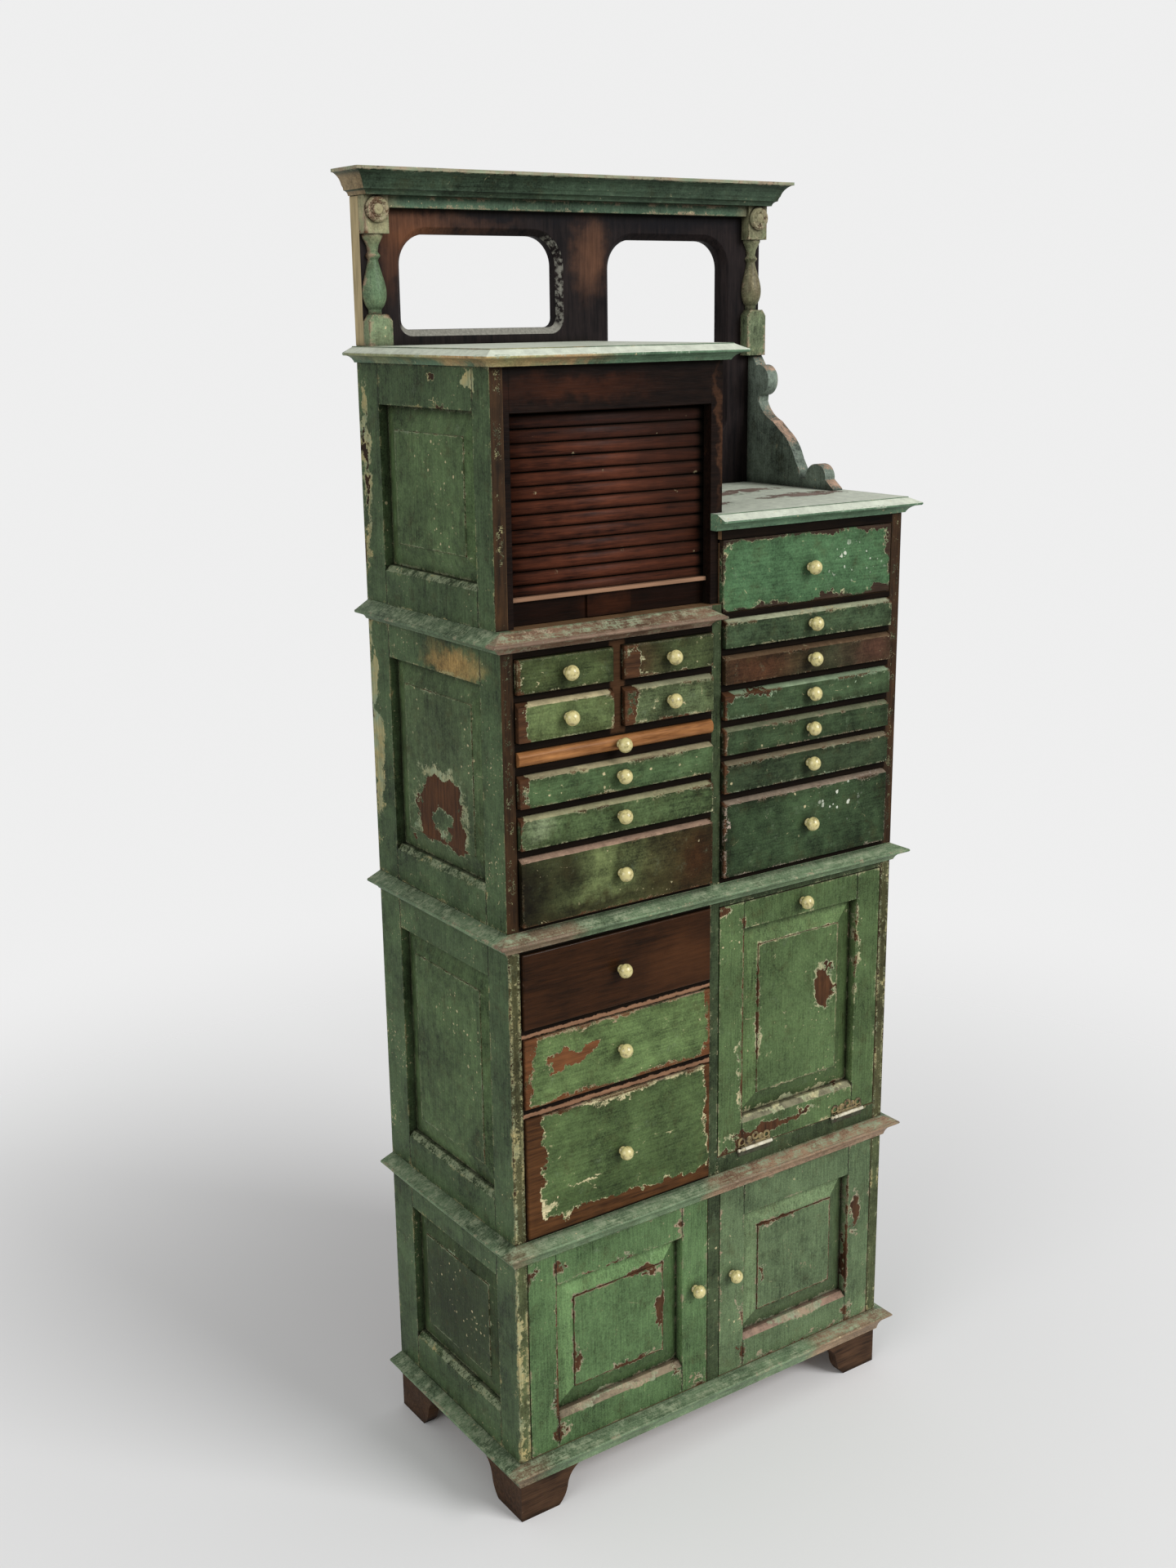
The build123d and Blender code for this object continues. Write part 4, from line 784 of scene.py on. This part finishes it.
def framed_door(node, name, paint, field, seams, joints, bare, pale, **look):
    """Paint for a framed door: field is its panel's (middle x, half width, middle z, half height, wear)."""
    *outline, worn = field
    wear_material(node, aged_paint(
        name, paint, edge=0.45, inner=door_back, top=0.9, rim=0.42, contrast=0.7,
        bare=[*bare, field_line("x", *outline, worn), seams[0]],
        pale=[field_line("x", *outline, 0.3, 3.0), *pale],
        grime=[seam("x", x, "z", low, high, 0.9) for x in seams[1:] for low, high in joints],
        **look,
    ))


DOOR_JOINTS = [(91.5, 139.5), (334.5, 380.5)]
framed_door(
    "left_door", "left door paint", rgb(86, 112, 72), (-154, 74, 237, 67.5, 0.62),
    (seam("x", -258, "z", 139, 335, 0.5, 2.0), -258, -50), DOOR_JOINTS,
    bare=[
        *on_stiles((-248, 356, 10, 8, 0.8), (-256, 111, 12, 12, 0.7), (-294, 358, 8, 14, 0.7), (-50, 352, 8, 8, 0.7)),
        *on_panel((-222, 206, 6, 18, 1.0), (-84, 230, 6, 26, 1.0), (-130, 172, 34, 5, 0.9), (-110, 301, 26, 6, 0.9)),
        *on_stiles((-262, 150, 5, 40, 0.7), (-54, 128, 6, 20, 0.7), (-180, 336, 60, 4, 0.6), (-20, 100, 16, 10, 0.6)),
    ],
    pale=on_stiles((-150, 138, 110, 7, 0.9), (-52, 240, 5, 90, 0.5), (-255, 240, 5, 90, 0.4)),
    shift=31.0, under=(MINT, PINK), slopes=0.75, ledge=rgb(150, 134, 108),
)
framed_door(
    "right_door", "right door paint", rgb(92, 110, 78), (159, 69, 237, 67.5, 0.6),
    (seam("x", 258, "z", 139, 335, 0.45, 2.0), 60, 258), DOOR_JOINTS,
    bare=[
        *on_stiles((277, 270, 10, 32, 0.95)), *on_panel((98, 230, 4, 18, 0.8)),
        *on_stiles((262, 110, 10, 14, 0.8), (56, 112, 8, 16, 0.8), (262, 190, 4, 50, 0.6)),
        *on_panel((120, 300, 40, 4, 0.7)), *on_stiles((52, 190, 4, 40, 0.5), (160, 94, 100, 5, 0.5)),
    ],
    pale=[*on_stiles((160, 138, 110, 7, 0.9)), *on_panel((160, 245, 90, 60, 0.22), (98, 230, 6, 22, 0.6))],
    shift=41.0, under=(MINT, PINK), slopes=0.75, ledge=rgb(164, 136, 116),
)
framed_door(
    "fall_front", "fall front paint", rgb(82, 102, 64), (156.5, 73, 622, 109.5, 0.6),
    (seam("x", 53.5, "z", 482, 761, 0.5, 2.0), 53.5, 259.5), [(437, 482.5), (761.5, 800)],
    bare=[
        *on_panel((208, 640, 17, 31, 1.5)),
        *on_stiles(
            (110, 458, 74, 9, 1.1), (60, 450, 20, 12, 0.8), (24, 441, 10, 8, 0.8), (236, 480, 10, 10, 0.6),
            (52, 770, 6, 16, 0.7), (262, 700, 4, 70, 0.6), (50, 560, 4, 70, 0.6),
        ),
        *on_panel((84, 620, 4, 80, 0.5)), *on_stiles((20, 792, 14, 8, 0.8)),
    ],
    pale=[
        *on_stiles((156, 482, 110, 6, 0.9)),
        *on_panel((208, 640, 23, 40, 1.1), (140, 700, 60, 1.6, 0.5), (120, 560, 50, 1.6, 0.45)),
    ],
    shift=51.0, under=(MINT, CREAM), slopes=0.65, ledge=rgb(140, 136, 108),
)


def lip_zone(w):
    """The finger lip of the lift rail."""
    return w.times(w.step(w.at["z"], 1234.0, 1235.0), w.step(w.at["y"], Y_SLATS + 0.5, Y_SLATS - 0.5))


def left_end(w):
    """The gallery's left end."""
    return w.times(w.step(w.facing["x"], -0.4, -0.8), w.step(w.at["x"], X_LEFT + 4.0, X_LEFT + 1.0))


def top_edge(w):
    """The crown's upper edge."""
    return w.times(w.step(w.line["z"], 1728.0, 1732.0), 0.7)


def opening_rim(w):
    """The lower edge and right end of the gallery's left opening."""
    end = w.times(w.step(w.facing["x"], -0.2, -0.5), w.step(w.noise(7.0, 5.0, 0.7), -0.2, 0.4), 0.8)
    return w.times(
        w.between(w.at["x"], -274.0, -10.0, 1.0), w.between(w.at["z"], 1531.0, 1672.0, 1.0),
        w.step(w.facing["y"], -0.2, -0.4), w.largest(w.step(w.facing["z"], 0.2, 0.5), end),
    )


def lit_worn_tops(amount):
    """A mark on what looks up: paler there partly from wear and partly as painted light from above."""
    return lambda w: w.times(w.step(w.facing["z"], 0.45, 0.9), amount)


# ---------------- the tambour case and the gallery
wear_material("tambour_case", old_wood(
    "case varnish", rgb(11, 8, 7), rgb(38, 25, 19), "x", 0.4, edge=0.05, shift=9.0, specular=0.06,
    tints=[
        ((-200, -141, 1478, 80, 30, 12), rgb(78, 42, 26), 0.5), ((8, -141, 1420, 4, 30, 70), rgb(96, 64, 44), 0.5),
    ],
))
wear_material("tambour_lift_rail", old_wood(
    "lift rail varnish", rgb(12, 5, 2), rgb(34, 16, 8), "x", 0.45, edge=0.1, shift=12.0, specular=0.06,
    rubs=[lip_zone], worn=rgb(178, 138, 110), corner_shade=0.5,
    tints=[((-150, -130, 1219, 33, 20, 16), rgb(56, 28, 14), 0.9)],
))
wear_material("tambour_slats", old_wood(
    "slat varnish", rgb(30, 14, 10), rgb(108, 58, 38), "x", 0.5, edge=0.0, shift=14.0, specular=0.09,
    # the slats' upward faces are paler, partly worn and partly painted light from above, and painted shade fills
    # their corners
    rubs=[lit_worn_tops(0.42)], worn=rgb(128, 98, 86), corner_shade=1.0, specks=0.1,
    tints=[
        ((-120, -126, 1470, 260, 60, 50), rgb(40, 28, 25), 0.8),
        ((-30, -126, 1400, 70, 60, 160), rgb(48, 32, 27), 0.6),
    ],
))
wear_material("gallery_board", old_wood(
    "gallery varnish", rgb(14, 13, 15), rgb(46, 38, 37), "z", 0.5, edge=0.06, shift=16.0, specular=0.06,
    tints=[
        ((-248, 154, 1664, 44, 30, 18), rgb(118, 76, 52), 0.85),
        ((-278, 154, 1640, 14, 30, 40), rgb(96, 62, 44), 0.6),
        ((24, 154, 1636, 22, 30, 40), rgb(104, 72, 54), 0.75),
        ((-200, 154, 1674, 80, 30, 8), rgb(92, 64, 50), 0.5),
        (left_end, rgb(186, 168, 128), 0.9), (opening_rim, rgb(150, 148, 138), 0.85),
        # the last two tints: painted shade in bands along the board's top, under the crown
        ((170, 154, 1684, 160, 30, 12), rgb(18, 18, 22), 0.8),
        ((-80, 154, 1684, 90, 30, 10), rgb(18, 18, 22), 0.7),
    ],
))


def frieze(amount):
    """A mark on the frieze under the crown."""
    return lambda w: w.times(w.between(w.at["z"], 1689.5, 1704.5), w.between(w.at["x"], -287.0, 287.0), amount)


wear_material("pilasters", aged_paint(
    "pilaster paint", rgb(110, 122, 92), wear=0.1, edge=0.55, rub=0.25, rim=0.4, shift=61.0, specks=0.3, top=0.3,
    under=(rgb(166, 166, 132), PINK), pale=[frieze(-0.3)],
    tints=[
        (frieze(1.0), rgb(64, 88, 70), 0.9),
        ((-303, 140, 1600, 20, 60, 44), rgb(84, 112, 84), 0.7),
        ((-303, 140, 1690, 24, 60, 36), rgb(156, 144, 110), 0.8),
        ((303, 140, 1690, 24, 60, 40), rgb(136, 128, 100), 0.8),
        ((303, 140, 1600, 20, 60, 30), rgb(120, 96, 76), 0.6),
    ],
))
wear_material("side_bracket", aged_paint(
    "bracket paint", rgb(112, 124, 112), edge=0.5, rub=0.15, shift=66.0, under=(rgb(168, 172, 164), PINK),
))
wear_material("cornice", aged_paint(
    "cornice paint", rgb(60, 76, 60), along="x", wear=-0.02, edge=0.4, rub=-0.02, top=0.2, shift=71.0,
    under=(PINK, MINT), contrast=0.9, pale=[top_edge], tints=[(left_end, rgb(150, 130, 98), 0.9)],
))
KEPT_SHARP = ("knob", "hinge", "fall_hinge", "tambour_slats", "back_boards", "drawer_runners", "bracket_feet")
for node in cad:
    if not node.startswith(KEPT_SHARP):
        soften(node)


# ---------------- pieces built here
def put_in(name, data):
    """Puts a mesh, light or camera in the scene."""
    made = bpy.data.objects.new(name, data)
    bpy.context.scene.collection.objects.link(made)
    return made


def mesh_object(name, bm, material):
    """Puts a bmesh in the scene as an object."""
    mesh = bpy.data.meshes.new(name)
    bm.to_mesh(mesh)
    bm.free()
    mesh.materials.append(material)
    return put_in(name, mesh)


def new_piece(name, bm, material, body, *replaced, smooth=True):
    """A mesh piece in millimetres that rides on a body."""
    for vertex in bm.verts:
        vertex.co *= MM
    bmesh.ops.recalc_face_normals(bm, faces=bm.faces)
    for face in bm.faces:
        face.smooth = smooth
    piece = mesh_object(name, bm, material)
    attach(piece, body)
    if replaced:
        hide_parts(*replaced)
    return piece


def circle(steps):
    """Angles all the way round."""
    return [2 * math.pi * n / steps for n in range(steps)]


def bridge(bm, rings, closed=False):
    """Joins rings of vertices by faces, and caps both ends unless the last ring meets the first."""
    for low, high in list(zip(rings, rings[1:])) + ([(rings[-1], rings[0])] if closed else []):
        for n in range(len(low)):
            m = (n + 1) % len(low)
            bm.faces.new((low[n], low[m], high[m], high[n]))
    if not closed:
        bm.faces.new(rings[0])
        bm.faces.new(rings[-1])


def lathe(bm, profile, centre, steps=40):
    """Turns (radius, reach) points about a line through centre that points to the front."""
    x, y, z = centre
    bridge(bm, [
        [bm.verts.new((x + r * math.cos(angle), y - reach, z + r * math.sin(angle))) for angle in circle(steps)]
        for r, reach in profile
    ])


def ivory():
    """Old ivory-coloured knobs, stained, with painted shade in their hollows."""
    w = Wiring("knob ivory")
    mid = w.noise(5.0, 5.0, 0.6)
    stain = w.step(mid, -0.1, 0.6)
    base = w.veil(rgb(214, 202, 140), stain, 0.6, rgb(104, 94, 46))
    # painted shade in the hollows
    base = w.veil(base, w.crevice_shade(5.0), 0.7, rgb(72, 64, 34))
    return w.finish(base, 0.32, w.total((mid, 0.05)), Specular_IOR_Level=0.6, Coat_Weight=0.35, Coat_Roughness=0.15)


KNOB = [  # radius and reach from the shank to the face
    (5.6, 0), (5.6, 1.6), (4.4, 2.6), (3.9, 4.2), (4.4, 5.8), (6.4, 6.8), (8.0, 7.6), (9.1, 8.8), (9.55, 10.4),
    (9.4, 12.2), (8.7, 14.2), (7.4, 16.2), (5.4, 17.9), (3.0, 19.0), (1.2, 19.4),
]
ivory_look = ivory()
bodies = {node: body for body, group in frame["record"]["behaviour"]["bodies"].items() for node in group}
for node in sorted(cad):
    if node.startswith("knob_"):
        low, high = [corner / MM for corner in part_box(node)]
        bm = bmesh.new()
        lathe(bm, KNOB, ((low.x + high.x) / 2, high.y, (low.z + high.z) / 2))
        new_piece("turned_" + node, bm, ivory_look, bodies[node], node)


SLAT_COUNT, SLAT_PITCH, SLAT_RISE, SLAT_HALF = 14, 16.5, 5.2, 7.9


def slat_curtain():
    """The rounded slats, each a little out of line."""
    low, high = [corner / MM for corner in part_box("tambour_slats")]
    bm = bmesh.new()
    for n in range(SLAT_COUNT):
        middle = low.z + n * SLAT_PITCH + 8.05
        lean = 0.35 * math.sin(2.1 * n)
        section = []
        for angle in [math.pi * k / 8 for k in range(9)]:
            rise = SLAT_RISE * math.sin(angle) ** 0.7
            section.append((low.y + SLAT_RISE - rise, middle - SLAT_HALF * math.cos(angle)))
        section = [(high.y, section[0][1]), *section, (high.y, section[-1][1])]
        bridge(bm, [
            [bm.verts.new((x, y, z + drop * 0.5)) for y, z in section] for x, drop in ((low.x, lean), (high.x, -lean))
        ])
    piece = new_piece("slat_curtain", bm, bpy.data.materials["slat varnish"], "carcass", "tambour_slats")
    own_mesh(piece)
    return piece


slat_curtain()


def carved_rosettes():
    """Eight-petalled flowers in front of the turned discs."""
    bm = bmesh.new()
    rim = [(15.8, 0.0), (15.8, 2.0), (15.0, 3.4), (13.6, 4.0), (12.6, 3.4)]
    petals = [(11.6, 2.6), (10.6, 4.6), (8.8, 5.8), (6.6, 5.4), (5.2, 3.4), (4.5, 4.4), (3.4, 6.0), (1.6, 6.5)]
    for x in (X_LEFT + 16.5, X_RIGHT - 16.5):
        rings = []
        for radius, reach in rim + petals:
            ring = []
            for angle in circle(96):
                lobe = abs(math.sin(4 * angle))
                y = Y_PILASTER - reach - (1.5 * lobe - 1.5 if 5.0 < radius < 12.0 else 0.0)
                r = radius - 0.9 * (1 - lobe) * (11.0 < radius < 13.0)
                ring.append(bm.verts.new((x + r * math.cos(angle), y, 1687.5 + r * math.sin(angle))))
            rings.append(ring)
        bridge(bm, rings)
    return new_piece("carved_rosettes", bm, bpy.data.materials["pilaster paint"], "carcass")


carved_rosettes()


# ---------------- the fall front's hinges
HINGE_X, HINGE_Y, HINGE_Z = (76.0, 250.0), -151.85, 436.75
HINGE_HALF, KNUCKLE, LEAF_T = 31.0, 12.0, 1.4


def turned_along_x(bm, profile, centre, steps=24):
    """Turns (x, radius) points about the hinge's line."""
    bridge(bm, [
        [bm.verts.new((centre + x, HINGE_Y + r * math.cos(a), HINGE_Z + r * math.sin(a))) for a in circle(steps)]
        for x, r in profile
    ])


def leaf_ring(bm, x, z, outer, inner, steps=28):
    """A flat ring of the leaf with softened edges, or a domed disc where inner is 0."""
    back, front = Y_FRONT, Y_FRONT - LEAF_T
    if inner:
        section = [(inner, back), (inner, front + 0.4), (inner + 0.4, front)]
        section += [(outer - 0.5, front), (outer, front + 0.5), (outer, back)]
    else:
        section = [(outer, back), (outer, front + 0.6), (outer * 0.7, front - 0.2), (outer * 0.3, front - 0.5)]
    bridge(bm, [
        [bm.verts.new((x + r * math.cos(angle), y, z + r * math.sin(angle))) for angle in circle(steps)]
        for r, y in section
    ], closed=bool(inner))


def leaf_bar(bm, x0, x1, z0, z1):
    """A flat bar of the leaf with softened edges."""
    loops = []
    for y, inset in ((Y_FRONT, 0.0), (Y_FRONT - LEAF_T + 0.5, 0.0), (Y_FRONT - LEAF_T, 0.5)):
        left, right, low, high = x0 + inset, x1 - inset, z0 + inset, z1 - inset
        corners = ((left, low), (right, low), (right, high), (left, high))
        loops.append([bm.verts.new((x, y, z)) for x, z in corners])
    bridge(bm, loops)


def hinge_metal(name, light, dark, spot):
    """Old hinge metal, stained, with painted shade in its corners."""
    w = Wiring(name)
    mid = w.noise(9.0, 5.0, 0.65)
    base = w.mix(w.step(mid, -0.4, 0.6), light, dark)
    base = w.mix(w.step(mid, spot, spot + 0.2), base, rgb(64, 50, 30))
    # painted shade in the corners
    base = w.veil(base, w.crevice_shade(3.0), 0.8, DIRT_AND_SHADE)
    roughness = w.share(mid, 0.1, 0.42)
    return w.finish(base, roughness, w.total((mid, 0.06)), Specular_IOR_Level=0.4)


barrel_look = hinge_metal("hinge barrel", rgb(222, 216, 194), rgb(176, 166, 134), 0.6)
leaf_look = hinge_metal("hinge leaf", rgb(142, 124, 82), rgb(80, 68, 44), 0.25)
foot_look = hinge_metal("hinge foot", rgb(62, 66, 44), rgb(44, 36, 22), 0.4)
LEFT, SPLIT = -HINGE_HALF, KNUCKLE - HINGE_HALF  # the fixed knuckle's ends, from the hinge's middle
KNUCKLE_TURNED = [
    (LEFT, 0.9), (LEFT + 0.5, 2.1), (LEFT + 2, 2.6), (LEFT + 3.5, 2.2), (LEFT + 4.5, 1.3), (LEFT + 6.5, 1.3),
    (LEFT + 7.2, 2.6), (SPLIT - 0.4, 2.6), (SPLIT - 0.1, 2.1),
]
BARREL_TURNED = [
    (SPLIT + 0.4, 2.0), (SPLIT + 0.9, 2.6), (26.5, 2.6), (27.2, 1.9), (28, 2.6), (30, 2.5), (31, 1.4),
]
LEAF_RINGS = [  # offset, rise, outer and inner radius
    (-22.5, 10.0, 7.2, 3.6), (-9.5, 11.0, 5.4, 0.0), (1.5, 14.0, 6.4, 2.6), (11.5, 11.0, 4.8, 0.0),
    (22.0, 10.5, 6.4, 3.0),
]
leaves, barrels, fixed, feet = bmesh.new(), bmesh.new(), bmesh.new(), bmesh.new()
for x in HINGE_X:
    turned_along_x(fixed, KNUCKLE_TURNED, x)
    turned_along_x(barrels, BARREL_TURNED, x)
    for offset, rise, outer, inner in LEAF_RINGS:
        leaf_ring(leaves, x + offset, HINGE_Z + rise, outer, inner)
    leaf_bar(leaves, x - 29, x + 29, HINGE_Z + 3.8, HINGE_Z + 6.6)
    leaf_bar(leaves, x + SPLIT + 1, x + 29, HINGE_Z + 0.8, HINGE_Z + 4.2)
    leaf_bar(feet, x - 29, x + 29, HINGE_Z - 10.0, HINGE_Z - 4.0)
    leaf_bar(feet, x + LEFT, x + SPLIT - 0.4, HINGE_Z - 5.0, HINGE_Z - 0.8)
new_piece("hinge_leaves", leaves, leaf_look, "fall_front", "fall_hinge_leaves", smooth=False)
new_piece("hinge_barrels", barrels, barrel_look, "fall_front")
new_piece("hinge_knuckles", fixed, barrel_look, "carcass")
new_piece("hinge_feet", feet, foot_look, "carcass", "hinge_fixed_parts", smooth=False)


# ---------------- floor, light and camera
def pale_floor():
    """A pale round floor that fades into the background."""
    w = Wiring("floor")
    ground = w.add("ShaderNodeBsdfDiffuse")
    w.feed(ground.inputs["Color"], (0.88, 0.88, 0.88, 1.0))
    blend = w.add("ShaderNodeMixShader")
    w.feed(blend.inputs[0], w.step(w.vector("LENGTH", w.place), 500.0, 2300.0))
    w.feed(blend.inputs[1], ground.outputs[0])
    w.feed(blend.inputs[2], w.add("ShaderNodeBsdfTransparent").outputs[0])
    w.feed(w.add("ShaderNodeOutputMaterial").inputs["Surface"], blend.outputs[0])
    bm = bmesh.new()
    bmesh.ops.create_circle(bm, cap_ends=True, segments=96, radius=3.0)
    floor = mesh_object("floor", bm, w.material)


def soft_world():
    """Even light all round, with a pale background for the camera and through what is clear."""
    world = bpy.data.worlds.new("studio")
    bpy.context.scene.world = world
    world.use_nodes = True
    tree = world.node_tree
    tree.nodes.clear()
    kinds = ("LightPath", "Math", "Background", "Background", "MixShader", "OutputWorld")
    path, seen, light, shown, blend, output = [tree.nodes.new("ShaderNode" + kind) for kind in kinds]
    seen.operation = "MAXIMUM"
    light.inputs["Strength"].default_value = 0.5
    shown.inputs["Color"].default_value = (0.86, 0.86, 0.86, 1.0)
    for source, target in (
        (path.outputs["Is Camera Ray"], seen.inputs[0]),
        (path.outputs["Is Transmission Ray"], seen.inputs[1]),
        (seen.outputs[0], blend.inputs[0]),
        (light.outputs[0], blend.inputs[1]),
        (shown.outputs[0], blend.inputs[2]),
        (blend.outputs[0], output.inputs["Surface"]),
    ):
        tree.links.new(source, target)


def soft_box(name, place, aim, size, watts):
    """A square studio light."""
    lamp = bpy.data.lights.new(name, "AREA")
    lamp.size = size
    lamp.energy = watts
    holder = put_in(name, lamp)
    holder.location = place
    holder.rotation_euler = (Vector(aim) - Vector(place)).to_track_quat("-Z", "Y").to_euler()


def photo_camera():
    """The camera that sees the cabinet as the photograph does."""
    yaw, pitch, roll = math.radians(34.6034), math.radians(-15.1625), math.radians(-0.7116)
    ahead = Vector((math.sin(yaw) * math.cos(pitch), math.cos(yaw) * math.cos(pitch), math.sin(pitch)))
    level = Vector((math.cos(yaw), -math.sin(yaw), 0.0))
    above = level.cross(ahead)
    right = math.cos(roll) * level + math.sin(roll) * above
    up = math.cos(roll) * above - math.sin(roll) * level
    lens = bpy.data.cameras.new("camera")
    lens.sensor_fit = "HORIZONTAL"
    lens.sensor_width = 36.0
    lens.lens = 53.26
    camera = put_in("camera", lens)
    turned = Matrix((right, up, -ahead)).transposed().to_4x4()
    camera.matrix_world = Matrix.Translation((-1.36753, -1.84427, 1.56225)) @ turned
    bpy.context.scene.camera = camera


pale_floor()
soft_world()
soft_box("key", (3.4, -7.2, 5.5), (0.0, 0.0, 0.9), 4.4, 600.0)
soft_box("fill", (-7.0, -2.4, 3.5), (-0.2, 0.0, 0.9), 5.0, 185.0)
photo_camera()
bpy.context.scene.view_settings.view_transform = "Standard"
